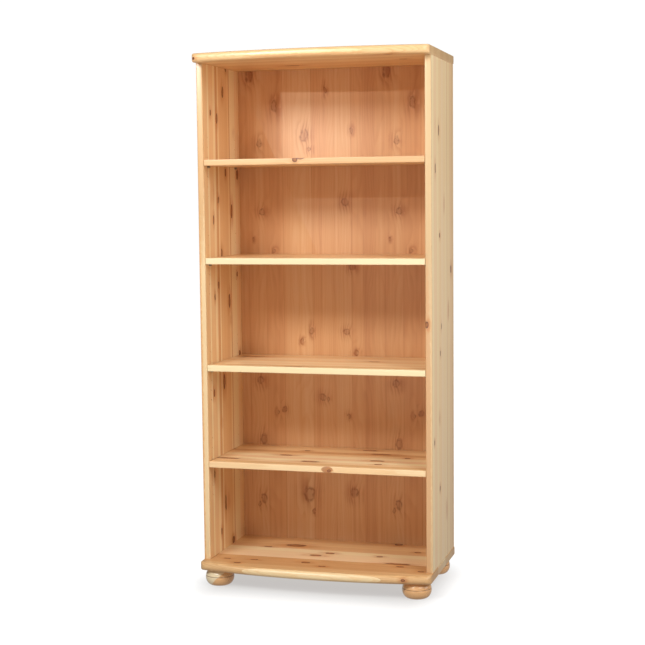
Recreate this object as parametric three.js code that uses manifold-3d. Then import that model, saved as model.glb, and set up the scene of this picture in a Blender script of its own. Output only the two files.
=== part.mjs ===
// A free-standing pine bookcase with four adjustable shelves.
//
// Two edge-glued side panels stand between a base board and a top board whose bowed fronts
// have a rounded nose. A thin back panel slides in grooves, four turned bun feet are screwed
// under the base, and each shelf lies on four pins pushed into rows of blind holes.
//
// Millimetres. +X right, +Y towards the wall, +Z up. The origin is on the floor, under the
// middle of the whole object's box.

import * as THREE from 'three';
import { mergeVertices } from 'three/addons/utils/BufferGeometryUtils.js';
import Module from 'manifold-3d';

const wasm = await Module();
wasm.setup();

// ---- Driving dimensions -------------------------------------------------------------------

const CARCASS_WIDTH = 774; // across the outer faces of the side panels
const PANEL_THICK = 21;
const PANEL_DEPTH = 361;
const PANEL_HEIGHT = 1631;
const PANEL_ARRIS = 3; // rounding of the front edges of the panels

const CAP_THICK = 28; // the top board and the base board
const CAP_FRONT_OVERHANG = 44; // in front of the panels, at the two ends of the bowed front
const CAP_BOW = 38; // how much further the front stands out at its middle
const CAP_SIDE_OVERHANG = 2;
const CAP_REAR_OVERHANG = 4;
const CAP_CORNER_RADIUS = 25; // front corners, seen from above
const CAP_REAR_CORNER_RADIUS = 5;
const NOSE_RADIUS = 13; // rounding of the bowed front edge
const CAP_ARRIS = 4; // rounding of the side and rear edges

const SHELF_THICK = 20;
const SHELF_ARRIS = 2.5;
const SHELF_END_GAP = 1;
const SHELF_REAR_GAP = 2;

const BACK_THICK = 3;
const GROOVE_WIDTH = 4;
const GROOVE_DEPTH = 7; // in the side panels
const CAP_GROOVE_DEPTH = 5; // in the top and base boards
const GROOVE_FROM_REAR = 8;
const BACK_EDGE_GAP = 0.5;

const FOOT_HEIGHT = 53;
const FOOT_RADIUS = 47.5;
const FOOT_FLAT_RADIUS = 27;
const FOOT_X = 334; // from the middle of the bookcase
const FOOT_INSETS_Y = { front: 4, rear: 311 }; // from the front faces of the panels
const FOOT_BOLT_RADIUS = 4;
const FOOT_BOLT_START = 18; // height of its lower end above the floor
const FOOT_BOLT_END = 75;

const PIN_PITCH = 32; // between neighbouring holes of a row
const PIN_STEPS = 3; // holes above and below the one in use
const PIN_STEM_RADIUS = 2.5;
const PIN_STEM_LENGTH = 9.5;
const PIN_HEAD_RADIUS = 3.5;
const PIN_HEAD_LENGTH = 8;
const PIN_HOLE_RADIUS = 2.7;
const PIN_HOLE_DEPTH = 10;
const PIN_INSETS_Y = { front: 37, rear: 301 };
const FIRST_PIN_HEIGHT = 305.5; // above the base board
const SHELF_HOLES = [0, 10, 21, 31]; // the row hole each shelf uses, from the lowest shelf up

const SCREW_INSETS_Y = { front: 70, rear: 291 };
const SCREW_RADIUS = 3.5;
const SCREW_HEAD_RADIUS = 5;
const SCREW_HEAD_LENGTH = 3.5;
const SCREW_LENGTH = 50;
const SCREW_RECESS = 3; // from the board's surface to the head, room for a cover cap
const CAP_PLUG_RADIUS = 6;
const CAP_PLUG_THICK = 2.5;
const DOWEL_INSETS_Y = { front: 112, rear: 249 };
const DOWEL_RADIUS = 4;
const DOWEL_LENGTH = 34;
const DOWEL_IN_CAP = 16;
const DOWEL_CHAMFER = 1;
const FIT_GAP = 0.3; // around hidden fittings, so that no two solids meet

const CURVE_STEPS = 6; // facets of a quarter circle on the rounded corners
const NOSE_STEPS = 4; // facets of a quarter circle on a rounded edge
const BOW_STEPS = 16; // an even number, so that one point is in the middle
const ROUND_SIDES = 8;
const FOOT_SIDES = 24;
const FOOT_STEPS = 9;

// ---- Derived places -----------------------------------------------------------------------

const HALF_WIDTH = CARCASS_WIDTH / 2;
const INNER_HALF_WIDTH = HALF_WIDTH - PANEL_THICK;
const CAP_HALF_WIDTH = HALF_WIDTH + CAP_SIDE_OVERHANG;
const OVERALL_DEPTH = CAP_FRONT_OVERHANG + CAP_BOW + PANEL_DEPTH + CAP_REAR_OVERHANG;
const PANEL_FRONT_Y = -OVERALL_DEPTH / 2 + CAP_FRONT_OVERHANG + CAP_BOW;
const PANEL_REAR_Y = PANEL_FRONT_Y + PANEL_DEPTH;
const CAP_REAR_Y = PANEL_REAR_Y + CAP_REAR_OVERHANG;
const GROOVE_REAR_Y = PANEL_REAR_Y - GROOVE_FROM_REAR;
const BACK_MIDDLE_Y = GROOVE_REAR_Y - GROOVE_WIDTH / 2;
const BASE_TOP_Z = FOOT_HEIGHT + CAP_THICK;
const PANEL_TOP_Z = BASE_TOP_Z + PANEL_HEIGHT;
const OVERALL_HEIGHT = PANEL_TOP_Z + CAP_THICK;
const PANEL_MIDDLE_X = HALF_WIDTH - PANEL_THICK / 2;
const SIDES = { left: -1, right: 1 };

// ---- Materials ----------------------------------------------------------------------------

const pine = new THREE.MeshStandardMaterial({ color: 0xe2b47e, roughness: 0.45, metalness: 0 });
const pineFoot = new THREE.MeshStandardMaterial({ color: 0xc8935f, roughness: 0.35, metalness: 0 });
const printedBoard = new THREE.MeshStandardMaterial({ color: 0xb9784c, roughness: 0.6, metalness: 0 });
const beech = new THREE.MeshStandardMaterial({ color: 0xd8b78f, roughness: 0.7, metalness: 0 });
const steel = new THREE.MeshStandardMaterial({ color: 0xb8babd, roughness: 0.35, metalness: 0.9 });
const capPlastic = new THREE.MeshStandardMaterial({ color: 0xd9ab73, roughness: 0.5, metalness: 0 });

// ---- Solid tools --------------------------------------------------------------------------

/** A closed three.js geometry as a solid that can be joined and cut. */
function toSolid(geometry) {
  const bare = geometry.index ? geometry.toNonIndexed() : geometry.clone();
  bare.deleteAttribute('normal');
  bare.deleteAttribute('uv');
  const merged = mergeVertices(bare, 1e-4);
  return new wasm.Manifold(new wasm.Mesh({
    numProp: 3,
    vertProperties: new Float32Array(merged.attributes.position.array),
    triVerts: new Uint32Array(merged.index.array),
  }));
}

/** A solid back to a three.js geometry. */
function toGeometry(solid) {
  const mesh = solid.getMesh();
  const geometry = new THREE.BufferGeometry();
  geometry.setAttribute('position', new THREE.BufferAttribute(new Float32Array(mesh.vertProperties), 3));
  geometry.setIndex(new THREE.BufferAttribute(new Uint32Array(mesh.triVerts), 1));
  geometry.computeVertexNormals();
  return geometry;
}

/** The geometry with every cutter taken out of it. */
function cut(geometry, cutters) {
  let solid = toSolid(geometry);
  for (const cutter of cutters) {
    solid = solid.subtract(toSolid(cutter));
  }
  return toGeometry(solid);
}

/** A box given by its lowest and highest corners. */
function boxBetween(low, high) {
  const size = high.map((value, axis) => value - low[axis]);
  const middle = high.map((value, axis) => (value + low[axis]) / 2);
  return new THREE.BoxGeometry(...size).translate(...middle);
}

/** A turned solid about +Z: the profile is a list of [radius, height] from axis to axis. */
function turned(profile, sides) {
  return new THREE.LatheGeometry(profile.map(([r, z]) => new THREE.Vector2(r, z)), sides)
    .rotateX(Math.PI / 2);
}

/** A round bar standing on z = 0. */
function bar(radius, length, sides = ROUND_SIDES) {
  return turned([[0, 0], [radius, 0], [radius, length], [0, length]], sides);
}

/** A straight board of constant section: the section's points lie in the plane across it. */
function extruded(points, length) {
  return new THREE.ExtrudeGeometry(new THREE.Shape(points), { depth: length, bevelEnabled: false });
}

/** Points of an arc about a centre, from one angle to another. */
function arcPoints(centreX, centreY, radius, from, to, steps) {
  return Array.from({ length: steps + 1 }, (_, i) => {
    const angle = from + ((to - from) * i) / steps;
    return new THREE.Vector2(centreX + radius * Math.cos(angle), centreY + radius * Math.sin(angle));
  });
}

/** A rectangle whose two corners at low Y are rounded: the front edges of a plain board. */
function frontRoundedSection(lowX, highX, lowY, highY, radius) {
  return [
    ...arcPoints(lowX + radius, lowY + radius, radius, Math.PI, 1.5 * Math.PI, 3),
    ...arcPoints(highX - radius, lowY + radius, radius, 1.5 * Math.PI, 2 * Math.PI, 3),
    new THREE.Vector2(highX, highY),
    new THREE.Vector2(lowX, highY),
  ];
}

// ---- Top board and base board ---------------------------------------------------------------

/**
 * The outline of the bowed boards, seen from above and anticlockwise. Each point has its outward
 * direction and the radius of the rounded edge there: the full nose along the bowed front, fading
 * round the front corners into the small arris of the sides and the rear.
 */
function capOutline() {
  const bowRadius = (CAP_HALF_WIDTH ** 2 + CAP_BOW ** 2) / (2 * CAP_BOW);
  const bowCentreY = PANEL_FRONT_Y - CAP_FRONT_OVERHANG - CAP_BOW + bowRadius;
  const cornerX = CAP_HALF_WIDTH - CAP_CORNER_RADIUS;
  const cornerY = bowCentreY - Math.sqrt((bowRadius - CAP_CORNER_RADIUS) ** 2 - cornerX ** 2);
  const joinAngle = Math.atan2(cornerY - bowCentreY, cornerX);
  const rearX = CAP_HALF_WIDTH - CAP_REAR_CORNER_RADIUS;
  const rearY = CAP_REAR_Y - CAP_REAR_CORNER_RADIUS;
  const outline = [];

  function addArc(centreX, centreY, radius, from, to, steps, edgeRadius) {
    for (let i = 0; i <= steps; i += 1) {
      const along = i / steps;
      const angle = from + (to - from) * along;
      outline.push({
        x: centreX + radius * Math.cos(angle),
        y: centreY + radius * Math.sin(angle),
        outX: Math.cos(angle),
        outY: Math.sin(angle),
        edge: edgeRadius(along),
      });
    }
  }

  const fade = (along) => along * along * (3 - 2 * along);
  const noseToArris = (along) => NOSE_RADIUS + (CAP_ARRIS - NOSE_RADIUS) * fade(along);
  const arrisToNose = (along) => noseToArris(1 - along);
  const mirrorAngle = -Math.PI - joinAngle;
  addArc(0, bowCentreY, bowRadius, mirrorAngle, joinAngle, BOW_STEPS, () => NOSE_RADIUS);
  outline.pop();
  addArc(cornerX, cornerY, CAP_CORNER_RADIUS, joinAngle, 0, CURVE_STEPS, noseToArris);
  addArc(rearX, rearY, CAP_REAR_CORNER_RADIUS, 0, Math.PI / 2, 2, () => CAP_ARRIS);
  addArc(-rearX, rearY, CAP_REAR_CORNER_RADIUS, Math.PI / 2, Math.PI, 2, () => CAP_ARRIS);
  addArc(-cornerX, cornerY, CAP_CORNER_RADIUS, Math.PI, 2 * Math.PI + mirrorAngle, CURVE_STEPS, arrisToNose);
  outline.pop();
  return outline;
}

/** A board of the given outline whose edge is rounded, above and below, by each point's radius. */
function roundedBoard(outline, bottomZ, thick) {
  const rings = [];
  for (let j = 0; j <= NOSE_STEPS; j += 1) {
    const angle = (j / NOSE_STEPS - 1) * (Math.PI / 2);
    rings.push({ angle, lift: (edge) => edge + edge * Math.sin(angle) });
  }
  for (let j = 0; j <= NOSE_STEPS; j += 1) {
    const angle = (j / NOSE_STEPS) * (Math.PI / 2);
    rings.push({ angle, lift: (edge) => thick - edge + edge * Math.sin(angle) });
  }
  const count = outline.length;
  const positions = [];
  for (const ring of rings) {
    for (const point of outline) {
      const inset = point.edge * (1 - Math.cos(ring.angle));
      positions.push(point.x - point.outX * inset, point.y - point.outY * inset, bottomZ + ring.lift(point.edge));
    }
  }
  const index = [];
  for (let j = 0; j + 1 < rings.length; j += 1) {
    for (let i = 0; i < count; i += 1) {
      const next = (i + 1) % count;
      const low = j * count;
      const high = low + count;
      index.push(low + i, low + next, high + next, low + i, high + next, high + i);
    }
  }
  const lidStart = (rings.length - 1) * count;
  const lidAt = (i) => new THREE.Vector2(positions[3 * (lidStart + i)], positions[3 * (lidStart + i) + 1]);
  const lid = Array.from({ length: count }, (_, i) => lidAt(i));
  for (const [a, b, c] of THREE.ShapeUtils.triangulateShape(lid, [])) {
    index.push(lidStart + a, lidStart + b, lidStart + c, a, c, b);
  }
  const geometry = new THREE.BufferGeometry();
  geometry.setAttribute('position', new THREE.Float32BufferAttribute(positions, 3));
  geometry.setIndex(index);
  return geometry;
}

/** The groove for the back panel in the inner face of the top or base board. */
function capGroove(faceZ, intoBoard) {
  const reach = INNER_HALF_WIDTH + GROOVE_DEPTH;
  const zs = [faceZ - intoBoard, faceZ + intoBoard * CAP_GROOVE_DEPTH].sort((a, b) => a - b);
  return boxBetween([-reach, GROOVE_REAR_Y - GROOVE_WIDTH, zs[0]], [reach, GROOVE_REAR_Y, zs[1]]);
}

// ---- Hidden fittings --------------------------------------------------------------------------

/** Places of the fittings that join a board to the two panels, by side and by front or rear. */
function jointPlaces(insets) {
  const places = [];
  for (const [side, sign] of Object.entries(SIDES)) {
    for (const [end, inset] of Object.entries(insets)) {
      places.push({ label: `${end}_${side}`, x: sign * PANEL_MIDDLE_X, y: PANEL_FRONT_Y + inset });
    }
  }
  return places;
}

/** A connecting screw: its head's outer face is on z = 0 and its point is down at -length. */
function screwGeometry() {
  return turned([
    [0, -SCREW_LENGTH],
    [SCREW_RADIUS, -SCREW_LENGTH],
    [SCREW_RADIUS, -SCREW_HEAD_LENGTH],
    [SCREW_HEAD_RADIUS, 1 - SCREW_HEAD_LENGTH],
    [SCREW_HEAD_RADIUS, 0],
    [0, 0],
  ], ROUND_SIDES);
}

/** The hole for a connecting screw, open through the board's surface. */
function screwHole() {
  const well = CAP_PLUG_RADIUS + FIT_GAP;
  const neck = -SCREW_HEAD_LENGTH - FIT_GAP;
  return turned([
    [0, -SCREW_LENGTH - 2 * FIT_GAP],
    [SCREW_RADIUS + FIT_GAP, -SCREW_LENGTH - 2 * FIT_GAP],
    [SCREW_RADIUS + FIT_GAP, neck],
    [well, neck],
    [well, SCREW_RECESS + 1],
    [0, SCREW_RECESS + 1],
  ], ROUND_SIDES);
}

/** A wooden dowel with chamfered ends, standing on z = 0. */
function dowelGeometry() {
  return turned([
    [0, 0],
    [DOWEL_RADIUS - DOWEL_CHAMFER, 0],
    [DOWEL_RADIUS, DOWEL_CHAMFER],
    [DOWEL_RADIUS, DOWEL_LENGTH - DOWEL_CHAMFER],
    [DOWEL_RADIUS - DOWEL_CHAMFER, DOWEL_LENGTH],
    [0, DOWEL_LENGTH],
  ], ROUND_SIDES);
}

/** Screws and dowels of one board: `level` is its inner face and `up` points out of the carcass. */
function boardFittings(board, level, up) {
  const headZ = level + up * (CAP_THICK - SCREW_RECESS);
  const flip = up > 0 ? 0 : Math.PI;
  const screws = jointPlaces(SCREW_INSETS_Y).map((place) => ({
    name: `${board}_screw_${place.label}`,
    solid: screwGeometry().rotateX(flip).translate(place.x, place.y, headZ),
    hole: screwHole().rotateX(flip).translate(place.x, place.y, headZ),
    material: steel,
    place,
  }));
  const lowZ = level - (up > 0 ? DOWEL_LENGTH - DOWEL_IN_CAP : DOWEL_IN_CAP);
  const dowels = jointPlaces(DOWEL_INSETS_Y).map((place) => ({
    name: `${board}_dowel_${place.label}`,
    solid: dowelGeometry().translate(place.x, place.y, lowZ),
    hole: bar(DOWEL_RADIUS + FIT_GAP, DOWEL_LENGTH + 2 * FIT_GAP).translate(place.x, place.y, lowZ - FIT_GAP),
    material: beech,
    place,
  }));
  return [...screws, ...dowels];
}

const topFittings = boardFittings('top', PANEL_TOP_Z, 1);
const baseFittings = boardFittings('base', BASE_TOP_Z, -1);

// ---- Feet -------------------------------------------------------------------------------------

const feet = [];
for (const [side, sign] of Object.entries(SIDES)) {
  for (const [end, inset] of Object.entries(FOOT_INSETS_Y)) {
    feet.push({ label: `${end}_${side}`, x: sign * FOOT_X, y: PANEL_FRONT_Y + inset });
  }
}

/** A turned bun foot on the floor, with a blind hole for its bolt in the upper face. */
function footGeometry() {
  const halfHeight = FOOT_HEIGHT / 2;
  const bulge = FOOT_RADIUS - FOOT_FLAT_RADIUS;
  const side = Array.from({ length: FOOT_STEPS + 1 }, (_, i) => {
    const angle = (i / FOOT_STEPS - 0.5) * Math.PI;
    return [FOOT_FLAT_RADIUS + bulge * Math.cos(angle), halfHeight * (1 + Math.sin(angle))];
  });
  const holeRadius = FOOT_BOLT_RADIUS + FIT_GAP;
  const holeFloor = FOOT_BOLT_START - FIT_GAP;
  return turned([[0, 0], ...side, [holeRadius, FOOT_HEIGHT], [holeRadius, holeFloor], [0, holeFloor]], FOOT_SIDES);
}

// ---- Side panels --------------------------------------------------------------------------------

/** Height of the pin centres of one shelf. */
function pinHeight(shelf) {
  return BASE_TOP_Z + FIRST_PIN_HEIGHT + SHELF_HOLES[shelf] * PIN_PITCH;
}

/** A shelf pin along +X: the stem ends at x = 0 and the head begins there. */
function pinGeometry() {
  return turned([
    [0, -PIN_STEM_LENGTH],
    [PIN_STEM_RADIUS, -PIN_STEM_LENGTH],
    [PIN_STEM_RADIUS, 0],
    [PIN_HEAD_RADIUS, 0],
    [PIN_HEAD_RADIUS, PIN_HEAD_LENGTH],
    [0, PIN_HEAD_LENGTH],
  ], ROUND_SIDES).rotateY(Math.PI / 2);
}

/** A blind pin hole that opens at x = 0 and goes in towards -X. */
function pinHoleGeometry() {
  return bar(PIN_HOLE_RADIUS, PIN_HOLE_DEPTH + 1).translate(0, 0, -PIN_HOLE_DEPTH).rotateY(Math.PI / 2);
}

/** Turns a piece made for the left panel, which faces +X, round for the given side. */
function facing(geometry, sign) {
  return sign < 0 ? geometry : geometry.rotateZ(Math.PI);
}

/** One side panel with its groove, its rows of pin holes and the holes for its fittings. */
function panelGeometry(sign) {
  const xs = [sign * INNER_HALF_WIDTH, sign * HALF_WIDTH].sort((a, b) => a - b);
  const section = frontRoundedSection(xs[0], xs[1], PANEL_FRONT_Y, PANEL_REAR_Y, PANEL_ARRIS);
  const panel = extruded(section, PANEL_HEIGHT).translate(0, 0, BASE_TOP_Z);
  const grooveXs = [sign * (INNER_HALF_WIDTH - 1), sign * (INNER_HALF_WIDTH + GROOVE_DEPTH)].sort((a, b) => a - b);
  const cutters = [boxBetween(
    [grooveXs[0], GROOVE_REAR_Y - GROOVE_WIDTH, BASE_TOP_Z - 1],
    [grooveXs[1], GROOVE_REAR_Y, PANEL_TOP_Z + 1],
  )];
  for (let shelf = 0; shelf < SHELF_HOLES.length; shelf += 1) {
    for (let step = -PIN_STEPS; step <= PIN_STEPS; step += 1) {
      for (const inset of Object.values(PIN_INSETS_Y)) {
        const hole = facing(pinHoleGeometry(), sign);
        const holeZ = pinHeight(shelf) + step * PIN_PITCH;
        cutters.push(hole.translate(sign * INNER_HALF_WIDTH, PANEL_FRONT_Y + inset, holeZ));
      }
    }
  }
  for (const fitting of [...topFittings, ...baseFittings]) {
    if (Math.sign(fitting.place.x) === sign) {
      cutters.push(fitting.hole);
    }
  }
  return cut(panel, cutters);
}

// ---- Assembly -----------------------------------------------------------------------------------

const bookcase = new THREE.Group();

function addPiece(name, geometry, material) {
  const mesh = new THREE.Mesh(geometry, material);
  mesh.name = name;
  bookcase.add(mesh);
}

for (const [side, sign] of Object.entries(SIDES)) {
  addPiece(`side_panel_${side}`, panelGeometry(sign), pine);
}

addPiece('top_board', cut(
  roundedBoard(capOutline(), PANEL_TOP_Z, CAP_THICK),
  [capGroove(PANEL_TOP_Z, 1), ...topFittings.map((fitting) => fitting.hole)],
), pine);

const footBoltHoles = feet.map(({ x, y }) => (
  bar(FOOT_BOLT_RADIUS + FIT_GAP, FOOT_BOLT_END + FIT_GAP - FOOT_HEIGHT + 1).translate(x, y, FOOT_HEIGHT - 1)
));
addPiece('base_board', cut(
  roundedBoard(capOutline(), FOOT_HEIGHT, CAP_THICK),
  [capGroove(BASE_TOP_Z, -1), ...baseFittings.map((fitting) => fitting.hole), ...footBoltHoles],
), pine);

const backReachX = INNER_HALF_WIDTH + GROOVE_DEPTH - BACK_EDGE_GAP;
const backReachZ = CAP_GROOVE_DEPTH - BACK_EDGE_GAP;
addPiece('back_panel', boxBetween(
  [-backReachX, BACK_MIDDLE_Y - BACK_THICK / 2, BASE_TOP_Z - backReachZ],
  [backReachX, BACK_MIDDLE_Y + BACK_THICK / 2, PANEL_TOP_Z + backReachZ],
), printedBoard);

for (const { label, x, y } of feet) {
  addPiece(`foot_${label}`, footGeometry().translate(x, y, 0), pineFoot);
  const bolt = bar(FOOT_BOLT_RADIUS, FOOT_BOLT_END - FOOT_BOLT_START);
  addPiece(`foot_bolt_${label}`, bolt.translate(x, y, FOOT_BOLT_START), steel);
}

const shelfHalfLength = INNER_HALF_WIDTH - SHELF_END_GAP;
const shelfRearY = BACK_MIDDLE_Y - BACK_THICK / 2 - SHELF_REAR_GAP;
for (let shelf = 0; shelf < SHELF_HOLES.length; shelf += 1) {
  const label = `shelf_${shelf + 1}`;
  const undersideZ = pinHeight(shelf) + PIN_HEAD_RADIUS;
  const section = frontRoundedSection(0, SHELF_THICK, PANEL_FRONT_Y, shelfRearY, SHELF_ARRIS);
  const board = extruded(section, 2 * shelfHalfLength).rotateY(-Math.PI / 2);
  addPiece(label, board.translate(shelfHalfLength, 0, undersideZ), pine);
  for (const [side, sign] of Object.entries(SIDES)) {
    for (const [end, inset] of Object.entries(PIN_INSETS_Y)) {
      const pin = facing(pinGeometry(), sign);
      pin.translate(sign * INNER_HALF_WIDTH, PANEL_FRONT_Y + inset, pinHeight(shelf));
      addPiece(`${label}_pin_${end}_${side}`, pin, steel);
    }
  }
}

for (const fitting of [...topFittings, ...baseFittings]) {
  addPiece(fitting.name, fitting.solid, fitting.material);
}

for (const { label, x, y } of jointPlaces(SCREW_INSETS_Y)) {
  const plug = bar(CAP_PLUG_RADIUS, CAP_PLUG_THICK).translate(x, y, OVERALL_HEIGHT - CAP_PLUG_THICK);
  addPiece(`cover_cap_${label}`, plug, capPlastic);
}

export default bookcase;
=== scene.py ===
"""A pine bookcase with adjustable shelves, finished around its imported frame.

Every piece is in metres, in the frame's own axes: X to the right, Y to the wall, Z up. The boards
are worked out as surfaces on grids, the feet, pins and screws as turned surfaces, and the wood,
print, metal and plastic are materials on Object coordinates. Finish sizes are in millimetres.
"""

import logging
import math
from dataclasses import dataclass, field
from enum import Enum

import bmesh
import bpy
import numpy as np
from mathutils import Matrix, Vector


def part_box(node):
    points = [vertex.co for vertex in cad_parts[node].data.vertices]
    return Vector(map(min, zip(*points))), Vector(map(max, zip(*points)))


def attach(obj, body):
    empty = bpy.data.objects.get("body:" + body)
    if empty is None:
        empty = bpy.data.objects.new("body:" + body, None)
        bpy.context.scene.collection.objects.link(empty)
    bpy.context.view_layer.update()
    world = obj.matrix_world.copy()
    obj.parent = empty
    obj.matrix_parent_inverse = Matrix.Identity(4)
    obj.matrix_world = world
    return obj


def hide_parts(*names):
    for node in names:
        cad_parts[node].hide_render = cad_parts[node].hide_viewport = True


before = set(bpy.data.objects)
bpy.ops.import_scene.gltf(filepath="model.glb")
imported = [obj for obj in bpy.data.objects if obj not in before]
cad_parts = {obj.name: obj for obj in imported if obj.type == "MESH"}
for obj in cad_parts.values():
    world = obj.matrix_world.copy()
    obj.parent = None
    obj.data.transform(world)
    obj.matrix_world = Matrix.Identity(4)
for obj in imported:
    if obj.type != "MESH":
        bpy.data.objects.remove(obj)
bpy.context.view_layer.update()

log = logging.getLogger("bookcase")

MM = 0.001
SIDES = ("left", "right")
ENDS = ("front", "rear")
SHELVES = ("shelf_1", "shelf_2", "shelf_3", "shelf_4")
CARCASS = "carcass"

Colour = tuple[float, float, float]
Triple = tuple[float, float, float]


class Axis(Enum):
    """An axis of the frame, by its place in a point."""

    X = 0
    Y = 1
    Z = 2


def linear(colour: Colour) -> tuple[float, float, float, float]:
    """A screen colour as the linear colour that a shader takes.

    A channel is divided by 12.92 in the dark part of the screen curve, and raised to 2.4 above it.

    Args:
        colour: Red, green and blue from 0 to 1.

    Returns:
        The linear channels, with a full alpha.
    """
    red, green, blue = (
        channel / 12.92 if channel <= 0.04045 else ((channel + 0.055) / 1.055) ** 2.4
        for channel in colour
    )
    return (red, green, blue, 1.0)


# ---- Meshes ---------------------------------------------------------------------------------------


class Surface:
    """The points and faces of one closed piece, gathered patch by patch and then welded."""

    WELD = 1e-6

    def __init__(self) -> None:
        """Starts an empty surface."""
        self.points: list[np.ndarray] = []
        self.faces: list[tuple[np.ndarray, bool]] = []
        self.count = 0

    def add(self, points: np.ndarray, faces: list[np.ndarray], smooth: bool = True) -> None:
        """Adds a patch.

        Args:
            points: The patch's points, one to a row.
            faces: Arrays of faces, each array with one number of corners, counted in this patch.
            smooth: Whether the patch is shaded as a curved surface.
        """
        self.points.append(np.asarray(points, float).reshape(-1, 3))
        for block in faces:
            self.faces.append((np.atleast_2d(block) + self.count, smooth))
        self.count += len(self.points[-1])

    def grid(self, points: np.ndarray, closed: bool = False, smooth: bool = True) -> None:
        """Adds a grid of points as four-sided faces.

        Args:
            points: An array of rows, columns and three coordinates.
            closed: Whether the last column joins the first.
            smooth: Whether the grid is shaded as a curved surface.
        """
        rows, columns = points.shape[:2]
        index = np.arange(rows * columns).reshape(rows, columns)
        ahead = np.roll(index, -1, axis=1) if closed else index[:, 1:]
        here = index if closed else index[:, :-1]
        faces = np.stack([here[:-1], ahead[:-1], ahead[1:], here[1:]], axis=-1).reshape(-1, 4)
        self.add(points, [faces], smooth)

    def build(self, name: str, crease: float = 40.0) -> bpy.types.Object:
        """Welds the patches and makes the object.

        Points closer than the weld size become one, a face keeps each of its points once, and the
        faces of the closed shell are turned outwards.

        Args:
            name: The piece's name.
            crease: The angle in degrees past which an edge is sharp.

        Returns:
            The new object, at the origin.
        """
        points = np.concatenate(self.points)
        _, first, place = np.unique(
            np.round(points / self.WELD).astype(np.int64), axis=0, return_index=True, return_inverse=True
        )
        place = place.reshape(-1)
        faces: list[list[int]] = []
        smooth: list[bool] = []
        for block, curved in self.faces:
            kept = [list(dict.fromkeys(corners)) for corners in place[block].tolist()]
            kept = [corners for corners in kept if len(corners) > 2]
            faces += kept
            smooth += [curved] * len(kept)
        mesh = bpy.data.meshes.new(name)
        mesh.from_pydata(points[first].tolist(), [], faces)
        mesh.polygons.foreach_set("use_smooth", smooth)
        shell = bmesh.new()
        shell.from_mesh(mesh)
        bmesh.ops.recalc_face_normals(shell, faces=shell.faces)
        shell.to_mesh(mesh)
        shell.free()
        mesh.set_sharp_from_angle(angle=math.radians(crease))
        piece = bpy.data.objects.new(name, mesh)
        bpy.context.scene.collection.objects.link(piece)
        return piece


@dataclass
class Outline:
    """A board's outline in its own plane, anticlockwise.

    Attributes:
        points: Where the outline runs, one point to a row.
        outward: The outward direction at each point.
        edge: The radius of the rounded edge at each point.
    """

    points: np.ndarray
    outward: np.ndarray
    edge: np.ndarray

    def inset(self, by: np.ndarray) -> np.ndarray:
        """The outline moved inwards by a distance at each point."""
        return self.points - self.outward * by[:, None]

    @staticmethod
    def joined(arcs: list[tuple[float, float, float, float, float, int, np.ndarray]]) -> "Outline":
        """Joins arcs into an outline, with straight sides between their ends.

        A point of an arc is its centre plus its radius along the angle's direction.

        Args:
            arcs: Each arc's centre, radius, first and last angle, steps, and edge radius at each point.

        Returns:
            The whole outline.
        """
        points, outward, edge = [], [], []
        for centre_u, centre_v, radius, start, end, steps, edges in arcs:
            angle = np.linspace(start, end, steps + 1)
            away = np.stack([np.cos(angle), np.sin(angle)], axis=-1)
            points.append(np.array([centre_u, centre_v]) + radius * away)
            outward.append(away)
            edge.append(np.broadcast_to(edges, angle.shape))
        return Outline(np.concatenate(points), np.concatenate(outward), np.concatenate(edge))


def plain_outline(
    low: tuple[float, float],
    high: tuple[float, float],
    corner: float,
    edges: tuple[float, float, float, float],
) -> Outline:
    """A rectangle with small round corners and its own edge radius on each side.

    Round a corner the edge radius goes evenly from one side's to the next side's.

    Args:
        low: The lowest corner.
        high: The highest corner.
        corner: The radius of the four corners.
        edges: The edge radius of the low-v, high-u, high-v and low-u side.

    Returns:
        The outline.
    """
    steps = 6
    centres = [
        (low[0] + corner, low[1] + corner),
        (high[0] - corner, low[1] + corner),
        (high[0] - corner, high[1] - corner),
        (low[0] + corner, high[1] - corner),
    ]
    arcs = []
    for turn, (u, v) in enumerate(centres):
        start = math.pi + turn * math.pi / 2
        fade = np.linspace(edges[turn - 1], edges[turn], steps + 1)
        arcs.append((u, v, corner, start, start + math.pi / 2, steps, fade))
    return Outline.joined(arcs)


@dataclass
class Well:
    """A round blind hole in a board's flat face.

    Attributes:
        centre: Where it is, in the board's plane.
        radius: Its radius.
        depth: How deep it goes.
    """

    centre: tuple[float, float]
    radius: float
    depth: float


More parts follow.
